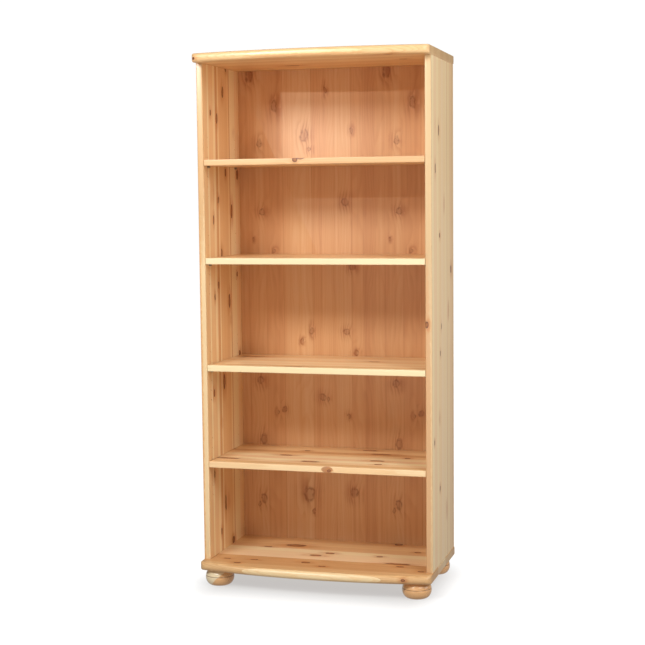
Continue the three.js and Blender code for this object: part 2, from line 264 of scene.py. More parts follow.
@dataclass
class Lid:
    """A board's flat face with its round holes and one groove.

    Attributes:
        wells: The round holes, each on crossing lines of one grid.
        groove: The groove's lowest and highest corner in the board's plane, if there is one.
        groove_depth: How deep the groove is.
        reach: Half the side of the square patch round each hole.
        ROUND: The points round a hole.
        NEAR: How far apart two places may be and still count as one.
    """

    wells: list[Well] = field(default_factory=list)
    groove: tuple[tuple[float, float], tuple[float, float]] | None = None
    groove_depth: float = 0.0
    reach: float = 0.0045

    ROUND = 24
    NEAR = 1e-6

    def lines(self, axis: int) -> np.ndarray:
        """The grid's lines along one axis: through each hole, beside it, and at the groove's sides.

        Args:
            axis: The axis of the board's plane, 0 or 1.

        Returns:
            The lines' places, in order.
        """
        cuts = [well.centre[axis] + side * self.reach for well in self.wells for side in (-1, 0, 1)]
        if self.groove:
            cuts += [self.groove[0][axis], self.groove[1][axis]]
        return np.unique(np.round(cuts, 6))

    def dress(self, board: "BoardShape", border: np.ndarray, level: float, inward: float) -> None:
        """Adds the face to a board.

        The face is a grid of rectangles with the cells at each hole left out. Eight six-cornered
        faces fill the ring between a hole's square patch and its rim, and four large faces join the
        grid to the board's border.

        Args:
            board: The board that the face closes.
            border: The border's points in the board's plane, anticlockwise.
            level: The face's height in the board's own axes.
            inward: The direction into the board, 1 or -1.
        """
        if not self.wells and not self.groove:
            board.flat(border, level, [np.arange(len(border))[None]])
            return
        us, vs = self.lines(0), self.lines(1)
        grid = np.stack(np.meshgrid(us, vs, indexing="ij"), axis=-1)
        index = np.arange(grid.shape[0] * grid.shape[1]).reshape(grid.shape[:2])
        cells = np.stack([index[:-1, :-1], index[1:, :-1], index[1:, 1:], index[:-1, 1:]], axis=-1)
        middle = (grid[:-1, :-1] + grid[1:, 1:]) / 2
        solid = np.ones(middle.shape[:2], bool)
        for well in self.wells:
            solid &= np.abs(middle - np.array(well.centre)).max(axis=-1) > self.reach
        if self.groove:
            low, high = np.array(self.groove)
            inside = ((middle > low) & (middle < high)).all(axis=-1)
            solid &= ~inside
            floor = level + inward * self.groove_depth
            board.flat(grid.reshape(-1, 2), floor, [cells[inside]])
            rows = (us >= low[0] - self.NEAR) & (us <= high[0] + self.NEAR)
            columns = (vs >= low[1] - self.NEAR) & (vs <= high[1] + self.NEAR)
            rim = grid[rows][:, columns]
            loop = np.concatenate([rim[:-1, 0], rim[-1, :-1], rim[:0:-1, -1], rim[0, :0:-1]])
            board.wall(loop, level, floor, smooth=False)
        board.flat(grid.reshape(-1, 2), level, [cells[solid]])
        self._join(board, grid, border, level)
        for well in self.wells:
            self._drill(board, well, level, inward)

    def _join(self, board: "BoardShape", grid: np.ndarray, border: np.ndarray, level: float) -> None:
        """Adds the four large faces between the grid and the border.

        Args:
            board: The board that the face closes.
            grid: The grid's points in the board's plane.
            border: The border's points, anticlockwise.
            level: The face's height in the board's own axes.
        """
        sides = [grid[:, 0], grid[-1, :], grid[::-1, -1], grid[0, ::-1]]
        starts = [int(np.argmin(np.linalg.norm(border - side[0], axis=1))) for side in sides]
        for turn, side in enumerate(sides):
            start, end = starts[turn], starts[(turn + 1) % 4]
            span = (end - start) % len(border)
            outer = border[(start + np.arange(span + 1)) % len(border)]
            ring = np.concatenate([outer, side[::-1]])
            board.flat(ring, level, [np.arange(len(ring))[None]])

    def _drill(self, board: "BoardShape", well: Well, level: float, inward: float) -> None:
        """Adds one hole: the ring round it, its wall and its flat floor.

        Args:
            board: The board that is drilled.
            well: The hole.
            level: The face's height in the board's own axes.
            inward: The direction into the board, 1 or -1.
        """
        centre = np.array(well.centre)
        turn = np.linspace(0, 2 * math.pi, 8, endpoint=False)
        square = np.sign(np.round(np.stack([np.cos(turn), np.sin(turn)], axis=-1), 6)) * self.reach
        angle = np.linspace(0, 2 * math.pi, self.ROUND, endpoint=False)
        circle = np.stack([np.cos(angle), np.sin(angle)], axis=-1) * well.radius
        step = self.ROUND // 8
        sector = np.arange(8)[:, None]
        inner = 8 + (sector * step + np.arange(step, -1, -1)) % self.ROUND
        faces = np.concatenate([sector, (sector + 1) % 8, inner], axis=1)
        board.flat(centre + np.concatenate([square, circle]), level, [faces])
        floor = level + inward * well.depth
        board.wall(centre + circle, level, floor)
        board.flat(centre + circle, floor, [np.arange(self.ROUND)[None]])


@dataclass
class BoardShape:
    """A board with rounded edges, in its own plane and then set in the frame.

    Attributes:
        outline: The board's outline.
        thick: Its thickness.
        origin: Where the middle of its own axes is in the frame.
        axes: The frame's directions of its two plane axes and of its thickness.
        lower: Its lower flat face.
        upper: Its upper flat face.
        steps: Facets of a quarter circle on the rounded edges.
    """

    outline: Outline
    thick: float
    origin: Triple
    axes: np.ndarray
    lower: Lid = field(default_factory=Lid)
    upper: Lid = field(default_factory=Lid)
    steps: int = 6
    surface: Surface = field(default_factory=Surface)

    def place(self, plane: np.ndarray, height: np.ndarray | float) -> np.ndarray:
        """Points of the board's plane at a height, as points of the frame.

        Args:
            plane: The points in the board's plane.
            height: The height of each, or of all.

        Returns:
            The points in the frame.
        """
        height = np.broadcast_to(height, plane.shape[:-1])
        local = np.concatenate([plane, height[..., None]], axis=-1)
        return np.array(self.origin) + local @ self.axes

    def flat(self, plane: np.ndarray, height: float, faces: list[np.ndarray]) -> None:
        """Adds flat faces at one height."""
        self.surface.add(self.place(plane, height), faces, smooth=False)

    def wall(self, loop: np.ndarray, start: float, end: float, smooth: bool = True) -> None:
        """Adds an upright wall along a closed loop, from one height to another."""
        rows = np.stack([self.place(loop, start), self.place(loop, end)])
        self.surface.grid(rows, closed=True, smooth=smooth)

    def build(self, name: str) -> bpy.types.Object:
        """Makes the board.

        The edge is a ring of quarter circles below and above: at an angle, the outline moves in by
        the edge radius times one minus the cosine, and up or down by the radius times the sine.

        Args:
            name: The piece's name.

        Returns:
            The new object.
        """
        quarter = np.linspace(0, math.pi / 2, self.steps + 1)
        angles = np.concatenate([quarter - math.pi / 2, quarter])
        upper = np.repeat([0.0, 1.0], self.steps + 1)
        edge = self.outline.edge
        rings = []
        for angle, top in zip(angles, upper):
            height = edge * math.sin(angle) + np.where(top, self.thick - edge, edge)
            rings.append(self.place(self.outline.inset(edge * (1 - math.cos(angle))), height))
        self.surface.grid(np.stack(rings), closed=True)
        border = self.outline.inset(edge)
        self.lower.dress(self, border, 0.0, 1.0)
        self.upper.dress(self, border, self.thick, -1.0)
        return self.surface.build(name)


def turned(
    name: str,
    profile: np.ndarray,
    sides: int,
    centre: Triple,
    axis: Axis = Axis.Z,
    swell: np.ndarray | float = 1.0,
    crease: float = 30.0,
) -> bpy.types.Object:
    """A turned piece: its profile carried round an axis, closed at both ends.

    A point is its profile's radius, times the swell at that place, along the angle's direction, with
    the profile's height along the axis.

    Args:
        name: The piece's name.
        profile: Radius and height along the axis, from one end to the other.
        sides: Steps round the axis.
        centre: Where the profile's zero height is.
        axis: The axis it is turned about.
        swell: A factor on the radius, for each profile point and angle, or for all.
        crease: The angle in degrees past which an edge is sharp.

    Returns:
        The new object.
    """
    angle = np.linspace(0, 2 * math.pi, sides, endpoint=False)
    radius = profile[:, :1] * swell * np.ones(sides)
    height = np.repeat(profile[:, 1:], sides, axis=1)
    parts = [radius * np.cos(angle), radius * np.sin(angle), height]
    order = {Axis.Z: (0, 1, 2), Axis.X: (2, 0, 1), Axis.Y: (1, 2, 0)}[axis]
    points = np.stack([parts[place] for place in order], axis=-1) + np.array(centre)
    surface = Surface()
    surface.grid(points, closed=True)
    return surface.build(name, crease)


def rounded_profile(corners: list[tuple[float, float]], radius: float, steps: int = 3) -> np.ndarray:
    """A profile whose inner corners are rounded.

    Each corner becomes a curve that starts and ends the radius away from it on its two sides: the
    corner's weighted mean with those two ends, with weights of a second-degree curve.

    Args:
        corners: Radius and height of each corner, in millimetres.
        radius: How far from a corner the curve starts, in millimetres.
        steps: Steps of each curve.

    Returns:
        The profile in metres.
    """
    points = np.array(corners, float)
    before, here, after = points[:-2], points[1:-1], points[2:]
    back, ahead = before - here, after - here
    back_length = np.linalg.norm(back, axis=1, keepdims=True)
    ahead_length = np.linalg.norm(ahead, axis=1, keepdims=True)
    start = here + back * np.minimum(radius / back_length, 0.45)
    end = here + ahead * np.minimum(radius / ahead_length, 0.45)
    t = np.linspace(0, 1, steps + 1)[None, :, None]
    curve = (1 - t) ** 2 * start[:, None] + 2 * t * (1 - t) * here[:, None] + t**2 * end[:, None]
    return np.concatenate([points[:1], curve.reshape(-1, 2), points[-1:]]) * MM


# ---- Shader maths ---------------------------------------------------------------------------------


class Wire:
    """A node's output that takes part in arithmetic. An expression on wires adds Math nodes."""

    def __init__(self, graph: "Graph", socket: bpy.types.NodeSocket) -> None:
        """Wraps an output socket of a graph."""
        self.graph = graph
        self.socket = socket

    def __add__(self, other: "Wire | float") -> "Wire":
        """The sum."""
        return self.graph.math("ADD", self, other)

    __radd__ = __add__

    def __sub__(self, other: "Wire | float") -> "Wire":
        """The difference."""
        return self.graph.math("SUBTRACT", self, other)

    def __rsub__(self, other: "Wire | float") -> "Wire":
        """The difference, from a number."""
        return self.graph.math("SUBTRACT", other, self)

    def __mul__(self, other: "Wire | float") -> "Wire":
        """The product."""
        return self.graph.math("MULTIPLY", self, other)

    __rmul__ = __mul__

    def __truediv__(self, other: "Wire | float") -> "Wire":
        """The quotient."""
        return self.graph.math("DIVIDE", self, other)

    def __rtruediv__(self, other: "Wire | float") -> "Wire":
        """The quotient, of a number."""
        return self.graph.math("DIVIDE", other, self)


Value = Wire | float | tuple


class Graph:
    """The node tree of one material or of the surroundings."""

    def __init__(self, owner: bpy.types.Material | bpy.types.World) -> None:
        """Empties the tree of its owner.

        Args:
            owner: The material or world.
        """
        self.owner = owner
        owner.use_nodes = True
        self.tree = owner.node_tree
        self.tree.nodes.clear()

    def add(self, kind: str, settings: dict, values: dict, output: str | int = 0) -> Wire:
        """Adds a node: its settings first, then the values or links of its sockets.

        Args:
            kind: The node's type, without its ShaderNode prefix.
            settings: Its own properties. The stops of a ramp are pairs of a place and a colour.
            values: Its inputs, by name or number.
            output: The output that is wanted.

        Returns:
            The output.
        """
        node = self.tree.nodes.new("ShaderNode" + kind)
        for key, setting in settings.items():
            if key == "stops":
                self._set_stops(node.color_ramp, setting)
            elif key == "interpolation" and kind == "ValToRGB":
                node.color_ramp.interpolation = setting
            else:
                setattr(node, key, setting)
        for key, value in values.items():
            if isinstance(value, Wire):
                self.tree.links.new(value.socket, node.inputs[key])
            else:
                node.inputs[key].default_value = value
        return Wire(self, node.outputs[output])

    @staticmethod
    def _set_stops(ramp: bpy.types.ColorRamp, stops: list[tuple[float, tuple]]) -> None:
        """Gives a ramp its stops, in order of place.

        Args:
            ramp: The ramp.
            stops: The stops, each a place and a colour.
        """
        for _ in range(len(stops) - 2):
            ramp.elements.new(0.5)
        for place, (where, _) in enumerate(stops):
            ramp.elements[place].position = where
        for element, (_, colour) in zip(ramp.elements, stops):
            element.color = colour

    def math(self, operation: str, first: Value, second: Value = 0.0) -> Wire:
        """A Math node on one or two values."""
        return self.add("Math", {"operation": operation}, {0: first, 1: second})

    def vector(self, operation: str, values: dict, output: str | int = 0) -> Wire:
        """A Vector Math node."""
        return self.add("VectorMath", {"operation": operation}, values, output)

    def mix(self, factor: Value, low: Value, high: Value) -> Wire:
        """A mix of two colours."""
        settings = {"data_type": "RGBA", "blend_type": "MIX", "clamp_factor": True}
        return self.add("Mix", settings, {0: factor, 6: low, 7: high}, 2)

    def ramp(self, value: Value, stops: list[tuple[float, tuple]], kind: str = "LINEAR") -> Wire:
        """A colour ramp on a value, with a kind of interpolation."""
        return self.add("ValToRGB", {"stops": stops, "interpolation": kind}, {0: value})

    def smooth(self, value: Value, low: float, high: float) -> Wire:
        """Zero below the low value, one above the high one, and a smooth step between them."""
        settings = {"interpolation_type": "SMOOTHSTEP", "clamp": True}
        return self.add("MapRange", settings, {"Value": value, "From Min": low, "From Max": high})

    def noise(self, point: Wire, scale: float, detail: float = 2.0, rough: float = 0.5) -> Wire:
        """Noise from 0 to 1 at a point."""
        values = {"Vector": point, "Scale": scale, "Detail": detail, "Roughness": rough}
        return self.add("TexNoise", {"noise_dimensions": "3D"}, values)

    def shaken(self, point: Wire, scale: float, reach: Triple) -> Wire:
        """A point moved by slow noise: the noise times the reach, less half the reach.

        Args:
            point: The point.
            scale: The noise's scale.
            reach: How far the point may move along each axis, in all.

        Returns:
            The moved point.
        """
        wobble = self.add("TexNoise", {}, {"Vector": point, "Scale": scale, "Detail": 2.0}, "Color")
        moved = self.vector("MULTIPLY_ADD", {0: wobble, 1: reach, 2: point})
        return self.vector("SUBTRACT", {0: moved, 1: tuple(part / 2 for part in reach)})

    def stretched(self, point: Wire, scale: Triple) -> Wire:
        """Noise at a point whose coordinates are scaled apart."""
        return self.noise(self.vector("MULTIPLY", {0: point, 1: scale}), 1.0)

    def millimetres(self) -> Wire:
        """The point of the piece in millimetres."""
        point = self.add("TexCoord", {}, {}, "Object")
        return self.vector("SCALE", {0: point, "Scale": 1 / MM})

    def outputs(self, first: Wire) -> list[Wire]:
        """The three outputs of the node that a wire comes from."""
        return [Wire(self, first.socket.node.outputs[place]) for place in range(3)]

    def split(self, vector: Wire) -> list[Wire]:
        """The three coordinates of a vector."""
        return self.outputs(self.add("SeparateXYZ", {}, {0: vector}))

    def channels(self, colour: Wire) -> list[Wire]:
        """The three channels of a colour."""
        return self.outputs(self.add("SeparateColor", {}, {0: colour}))

    def join(self, x: Value, y: Value, z: Value) -> Wire:
        """A vector of three coordinates."""
        return self.add("CombineXYZ", {}, {0: x, 1: y, 2: z})

    def late_wood(self, rings: Wire, start: float, full: float) -> Wire:
        """The dark part of each ring: it grows from its start to its full place, then ends."""
        return self.smooth(rings, start, full) * (1.0 - self.smooth(rings, full, 1.0))

    def bump(self, height: Wire, strength: float, distance: float) -> Wire:
        """The normal of a surface with a fine relief, its distance in metres."""
        values = {"Strength": strength, "Distance": distance, "Height": height}
        return self.add("Bump", {}, values)

    def nearest(self, point: Wire, marks: "tuple[Knot, ...]") -> Wire:
        """How far a point is from the nearest knot, in that knot's own half sizes.

        The point less the knot's middle, divided by its half sizes, has a length of one on its rim.

        Args:
            point: The point.
            marks: The knots, at least one.

        Returns:
            The distance.
        """
        distance: Wire | float = 100.0
        for mark in marks:
            scale = tuple(1 / half for half in mark.half)
            offset = tuple(-at / half for at, half in zip(mark.at, mark.half))
            reach = self.vector("MULTIPLY_ADD", {0: point, 1: scale, 2: offset})
            length = self.vector("LENGTH", {0: reach}, "Value")
            distance = self.math("MINIMUM", length, distance)
        return distance

    def finish(self, **inputs: Value) -> bpy.types.Material:
        """Ends the material in a Principled shader.

        Args:
            inputs: The shader's sockets, with an underscore for a space.

        Returns:
            The material.
        """
        values = {key.replace("_", " "): value for key, value in inputs.items()}
        self.end(self.add("BsdfPrincipled", {}, values), "Material")
        return self.owner

    def end(self, shader: Wire, kind: str) -> None:
        """Leads a shader to the output of a material or a world."""
        output = self.tree.nodes.new("ShaderNodeOutput" + kind)
        self.tree.links.new(shader.socket, output.inputs["Surface"])


SHUFFLE = 43758.5453


def scattered(count: int, step: float, seed: float = 0.0) -> float:
    """A number from 0 to 1 for a stave: the fraction of a large multiple of a sine.

    Args:
        count: The stave's place in its board.
        step: How far the sine moves on for each stave.
        seed: Where it starts.

    Returns:
        The number.
    """
    return math.modf(math.sin((count + 1) * step + seed) * SHUFFLE)[0] % 1.0


@dataclass(frozen=True)
class Knot:
    """A knot of the wood, in millimetres.

    Attributes:
        at: Its middle.
        half: Its half sizes along X, Y and Z.
    """

    at: Triple
    half: Triple


@dataclass(frozen=True)
class Stave:
    """One strip of a glued board, from its low edge up to the next stave.

    Attributes:
        edge: Where it begins, in millimetres.
        tone: How dark it is, from 0 to 1.
        blush: How pink it is, from 0 to 1.
    """

    edge: float
    tone: float
    blush: float = 0.0


@dataclass(frozen=True)
class Wash:
    """A long soft patch of another colour, in millimetres: wood tone, and on some rounded edges painted
    shade and painted highlight.

    Attributes:
        at: Its middle.
        half: Its half sizes along X, Y and Z.
        colour: Its colour.
        strength: How much of it shows, from 0 to 1.
    """

    at: Triple
    half: Triple
    colour: Colour
    strength: float


@dataclass(frozen=True)
class PineFinish:
    """Lacquered knotty pine, glued up from staves.

    Attributes:
        name: The material's name.
        grain: The axis that the grain runs along.
        across: The axis that the staves lie side by side on.
        through: The axis of the board's thickness.
        span: The board's extent across, in millimetres.
        ends: Where the end grain shows along the grain, in millimetres.
        staves: The staves, from low to high.
        knots: The knots.
        washes: Patches of another colour, some of them painted shade and painted highlight on rounded
            edges.
        seed: Moves the pattern, so that no two boards are alike.
        depth: Where the board's middle is along its thickness, in millimetres.
        RING: From one ring to the next, in millimetres.
        BEND: How far slow noise bends the rings, in millimetres.
        PUSH: How far a knot pushes the rings aside, in millimetres.
        EASE: How far the end grain's shade reaches in, in millimetres.
    """

    name: str
    grain: Axis
    across: Axis
    through: Axis
    span: tuple[float, float]
    ends: tuple[float, float]
    staves: tuple[Stave, ...]
    knots: tuple[Knot, ...] = ()
    washes: tuple[Wash, ...] = ()
    seed: float = 0.0
    depth: float = 0.0

    CREAM: Colour = (0.985, 0.905, 0.735)
    STRAW: Colour = (0.965, 0.825, 0.62)
    HONEY: Colour = (0.905, 0.73, 0.52)
    AMBER: Colour = (0.82, 0.605, 0.395)
    PINK: Colour = (0.95, 0.79, 0.64)
    KNOT_RIM: Colour = (0.35, 0.13, 0.05)
    KNOT_HEART: Colour = (0.66, 0.42, 0.24)
    HALO: Colour = (0.78, 0.50, 0.28)
    END_GRAIN: Colour = (0.82, 0.66, 0.45)

    RING: float = 4.2
    BEND: float = 34.0
    PUSH: float = 7.0
    EASE: float = 2.0

    def material(self) -> bpy.types.Material:
        """Makes the material: the staves' own shades, then washes, knots and end grain on them.

        Returns:
            The material.
        """
        graph = Graph(bpy.data.materials.new(self.name))
        point = graph.millimetres()
        shaken = graph.shaken(point, 0.05, (9.0, 9.0, 9.0))
        places = graph.split(point)
        along, across, through = (places[axis.value] for axis in (self.grain, self.across, self.through))
        tone, blush, number = self._staves(graph, across)
        distance = graph.nearest(shaken, self.knots)
        late = self._late_wood(graph, (along, across, through), number, distance)
        streak_at = (along * 0.0009 + number * 9.0, across * 0.085 + self.seed, through * 0.085)
        streak = graph.noise(graph.join(*streak_at), 1.0, 3.0, 0.6) - 0.5
        fibre_at = graph.join(along * 0.02, across * 0.9, through * 0.9)
        fibre = graph.noise(fibre_at, 1.0, 3.0, 0.6) - 0.5
        shade = tone + streak * 0.5 + late * 0.16 + fibre * 0.22 - 0.05
        tones = zip((0.0, 0.33, 0.66, 1.0), (self.CREAM, self.STRAW, self.HONEY, self.AMBER))
        colour = graph.ramp(shade, [(place, linear(tone)) for place, tone in tones])
        colour = graph.mix(blush, colour, linear(self.PINK))
        for wash in self.washes:
            patch = graph.nearest(shaken, (Knot(wash.at, wash.half),))
            patch = 1.0 - graph.smooth(patch, 0.8, 1.1)
            colour = graph.mix(patch * wash.strength, colour, linear(wash.colour))
        colour = self._knotted(graph, colour, distance, streak + late * 0.12)
        near, far = self.ends
        end = graph.smooth(along, far - self.EASE, far)
        end = end + (1.0 - graph.smooth(along, near, near + self.EASE))
        return graph.finish(
            Base_Color=graph.mix(end * 0.5, colour, linear(self.END_GRAIN)),
            Roughness=fibre * 0.16 - late * 0.05 + 0.4,
            Normal=graph.bump(fibre * 0.5 - late * 0.5, 0.22, 0.0004),
            Coat_Weight=0.25,
            Coat_Roughness=0.18,
            Coat_IOR=1.45,
        )

    def _staves(self, graph: Graph, across: Wire) -> list[Wire]:
        """The tone, blush and own number of the stave at a place across the board.

        Args:
            graph: The material's nodes.
            across: The place across the board, in millimetres.

        Returns:
            The three wires.
        """
        low, high = self.span
        stops = []
        for count, stave in enumerate(self.staves):
            number = scattered(count, 12.9898, self.seed)
            place = max(0.0, (stave.edge - low) / (high - low))
            stops.append((place, (stave.tone, stave.blush, number, 1.0)))
        return graph.channels(graph.ramp((across - low) / (high - low), stops, "CONSTANT"))

    def _late_wood(self, graph: Graph, point: tuple[Wire, ...], number: Wire, distance: Wire) -> Wire:
        """How far a point is into the dark late wood of its ring.

        The rings of a stave are the distance from a pith line that its own number sets, bent by
        slow noise along the grain and pushed aside by knots.

        Args:
            graph: The material's nodes.
            point: The point along the grain, across the board and through it.
            number: The stave's own number.
            distance: The distance from the nearest knot.

        Returns:
            The late wood, from 0 to 1.
        """
        along, across, through = point
        close = 1.0 / (distance * distance * 0.35 + 1.0)
        pattern = graph.join(along * 0.0011, across * 0.02, through * 0.02)
        apart = graph.join(number * 31.0 + self.seed, number * 17.0, 0.0)
        bend = (graph.noise(graph.vector("ADD", {0: pattern, 1: apart}), 1.0, 2.0) - 0.5) * self.BEND
        width = self.span[1] - self.span[0]
        pith_across = (number - 0.5) * (width * 1.3) + (self.span[0] + width / 2)
        pith_through = self.depth - 20.0 - graph.math("FRACT", number * 7.3) * 45.0
        sideways = across - pith_across
        downward = through - pith_through
        reach = graph.math("SQRT", sideways * sideways + downward * downward)
        rings = graph.math("FRACT", (reach + bend + close * self.PUSH) / self.RING)
        return graph.late_wood(rings, 0.35, 0.92)

    def _knotted(self, graph: Graph, colour: Wire, distance: Wire, grain: Wire) -> Wire:
        """The wood's colour with its knots: a streaky halo, a dark rim and a brown heart.

        Args:
            graph: The material's nodes.
            colour: The plain wood's colour.
            distance: The distance from the nearest knot.
            grain: The streaks that the halo follows.

        Returns:
            The colour.
        """
        halo = 1.0 - graph.smooth(distance, 0.9, 3.4)
        tails = graph.smooth(grain, -0.12, 0.2) * 0.75 + 0.1
        colour = graph.mix(halo * tails, colour, linear(self.HALO))
        rim = graph.smooth(distance, 0.3, 0.95)
        heart = graph.mix(rim, linear(self.KNOT_HEART), linear(self.KNOT_RIM))
        return graph.mix(1.0 - graph.smooth(distance, 0.85, 1.12), colour, heart)


@dataclass(frozen=True)
class PrintFinish:
    """Thin board with a printed pine pattern that repeats across it, and a plain brown rear.

    Attributes:
        name: The material's name.
        period: How far across the print repeats, in millimetres.
        start: Where the first repeat begins, in millimetres.
        rear: The depth past which the board shows its rear, in millimetres.
        planks: The printed planks of one repeat.
        knots: The printed knots of one repeat.
        RING: From one printed ring to the next, in millimetres.
        WEAVE: How fast the rear's relief turns, in radians for each millimetre.
    """

    name: str
    period: float
    start: float
    rear: float
    planks: tuple[Stave, ...]
    knots: tuple[Knot, ...]

    LIGHT: Colour = (0.89, 0.73, 0.55)
    MIDDLE: Colour = (0.845, 0.635, 0.45)
    DARK: Colour = (0.765, 0.53, 0.355)
    SEAM: Colour = (0.706, 0.461, 0.294)
    KNOT: Colour = (0.553, 0.322, 0.191)
    REAR: Colour = (0.47, 0.33, 0.21)
    REAR_PALE: Colour = (0.58, 0.42, 0.27)
    RING: float = 11.0
    WEAVE: float = 2.1

    def material(self) -> bpy.types.Material:
        """Makes the material: the print on the front and the bare board's relief on the rear.

        Across the board the place is taken modulo the period, so planks and knots repeat. Printed
        rings are stripes across, bent by slow noise along Z and pushed aside by knots. The rear's
        relief is a sine along X times a sine along Z.

        Returns:
            The material.
        """
        graph = Graph(bpy.data.materials.new(self.name))
        x, y, z = graph.split(graph.millimetres())
        repeat = graph.math("FLOORED_MODULO", x - self.start, self.period)
        flat = graph.join(repeat, 0.0, z)
        tone, _, number = self._planks(graph, repeat)
        distance = graph.nearest(graph.shaken(flat, 0.045, (17.0, 0.0, 17.0)), self.knots)
        close = 1.0 / (distance * distance * 0.3 + 1.0)
        slow = graph.noise(graph.join(repeat * 0.012, number * 40.0, z * 0.0022), 1.0, 2.0) - 0.5
        stripes = repeat * (0.35 + number) + slow * 90.0 + close * 14.0
        late = graph.late_wood(graph.math("FRACT", stripes / self.RING), 0.2, 0.85)
        streak = graph.noise(graph.join(repeat * 0.075, number * 13.0, z * 0.0012), 1.0, 3.0, 0.6) - 0.5
        fine = graph.noise(graph.join(repeat * 0.8, y, z * 0.02), 1.0, 2.0) - 0.5
        shade = tone + streak * 0.85 + late * 0.13 + fine * 0.12
        tones = zip((0.0, 0.5, 1.0), (self.LIGHT, self.MIDDLE, self.DARK))
        colour = graph.ramp(shade, [(place, linear(tone)) for place, tone in tones])
        colour = self._knotted(graph, colour, distance, streak + late * 0.25, flat)
        weave = graph.noise(graph.join(x * 0.7, y, z * 0.7), 1.0, 4.0, 0.7) - 0.5
        brown = graph.mix(graph.smooth(weave, -0.3, 0.3), linear(self.REAR), linear(self.REAR_PALE))
        back = graph.smooth(y, self.rear - 0.2, self.rear)
        relief = graph.math("SINE", x * self.WEAVE) * graph.math("SINE", z * self.WEAVE)
        return graph.finish(
            Base_Color=graph.mix(back, colour, brown),
            Roughness=back * 0.3 + 0.48 + fine * 0.1,
            Normal=graph.bump(relief * back * 0.5 + weave * back + fine * 0.2, 0.2, 0.0004),
        )

    def _planks(self, graph: Graph, repeat: Wire) -> list[Wire]:
        """The tone, blush and own number of the printed plank at a place in a repeat.

        Args:
            graph: The material's nodes.
            repeat: The place in its repeat, in millimetres.

        Returns:
            The three wires.
        """
        stops = []
        for count, plank in enumerate(self.planks):
            number = scattered(count, 78.233)
            stops.append((plank.edge / self.period, (plank.tone, plank.blush, number, 1.0)))
        return graph.channels(graph.ramp(repeat / self.period, stops, "CONSTANT"))

    def _knotted(self, graph: Graph, colour: Wire, distance: Wire, grain: Wire, flat: Wire) -> Wire:
        """The print's colour with its knots: a streaky halo, a broken ring and a faint core.

        Args:
            graph: The material's nodes.
            colour: The plain print's colour.
            distance: The distance from the nearest knot.
            grain: The streaks that the halo follows.
            flat: The point in its repeat.

        Returns:
            The colour.
        """
        halo = 1.0 - graph.smooth(distance, 0.7, 3.6)
        tails = graph.smooth(grain, -0.1, 0.35) * 0.7 + 0.12
        colour = graph.mix(halo * tails, colour, linear(self.SEAM))
        broken = graph.smooth(graph.noise(flat, 0.09, 2.0), 0.34, 0.62) * 0.5 + 0.22
        ring = graph.smooth(distance, 0.25, 0.75) * (1.0 - graph.smooth(distance, 0.8, 1.25))
        core = (1.0 - graph.smooth(distance, 0.3, 1.15)) * 0.32
        return graph.mix(graph.math("MAXIMUM", ring * broken, core), colour, linear(self.KNOT))


@dataclass(frozen=True)
class FootFinish:
    """Turned and lacquered pine of a bun foot, glued from two blocks.

    Attributes:
        name: The material's name.
        centre: The foot's middle in millimetres.
        pale_side: Which way the pale sapwood lies, as a slope across X for each millimetre of height.
        pale: How much of the foot is pale, from 0 to 1.
        groove: The height of the turned ring.
        knots: The knots, from the foot's middle.
        PITH: How far to the left of the foot's middle, and below it, the pith is, in millimetres.
        RING: From one ring to the next, in millimetres.
    """

    name: str
    centre: Triple
    pale_side: float
    pale: float
    groove: float
    knots: tuple[Knot, ...]

    SAP: Colour = (0.99, 0.91, 0.76)
    HEART: Colour = (0.97, 0.765, 0.54)
    LATE: Colour = (0.70, 0.42, 0.22)
    LINE: Colour = (0.42, 0.20, 0.09)
    KNOT: Colour = (0.55, 0.20, 0.10)
    PITH: tuple[float, float] = (60.0, 22.0)
    RING: float = 3.4

    def material(self) -> bpy.types.Material:
        """Makes the material: upright rings about a pith beside the foot, cut by the round side.

        Returns:
            The material.
        """
        graph = Graph(bpy.data.materials.new(self.name))
        point = graph.vector("SUBTRACT", {0: graph.millimetres(), 1: self.centre})
        x, y, z = graph.split(point)
        slow = graph.noise(graph.join(x * 0.03 + self.centre[0], y * 0.03, z * 0.05), 1.0, 2.0) - 0.5
        beside, below = self.PITH
        reach = graph.math("SQRT", (x + beside) * (x + beside) + (z + below) * (z + below))
        late = graph.late_wood(graph.math("FRACT", (reach + slow * 14.0) / self.RING), 0.3, 0.9)
        fibre = graph.noise(graph.join(x * 0.9, y * 0.05, z * 0.9), 1.0, 3.0, 0.6) - 0.5
        seam = x - z * self.pale_side + slow * 20.0 - (self.pale - 0.5) * 90.0
        heart = graph.smooth(seam, -3.0, 3.0)
        colour = graph.mix(heart, linear(self.SAP), linear(self.HEART))
        colour = graph.mix(late * (heart * 0.28 + 0.12) + fibre * 0.2, colour, linear(self.LATE))
        knotty = 1.0 - graph.smooth(graph.nearest(point, self.knots), 0.7, 1.2)
        colour = graph.mix(knotty, colour, linear(self.KNOT))
        from_groove = graph.math("ABSOLUTE", z + self.centre[2] - self.groove)
        line = 1.0 - graph.smooth(from_groove, 0.5, 1.5)
        return graph.finish(
            Base_Color=graph.mix(line * 0.75, colour, linear(self.LINE)),
            Roughness=fibre * 0.1 + 0.3,
            Normal=graph.bump(fibre - late * 0.3, 0.12, 0.0003),
            Coat_Weight=0.6,
            Coat_Roughness=0.08,
        )


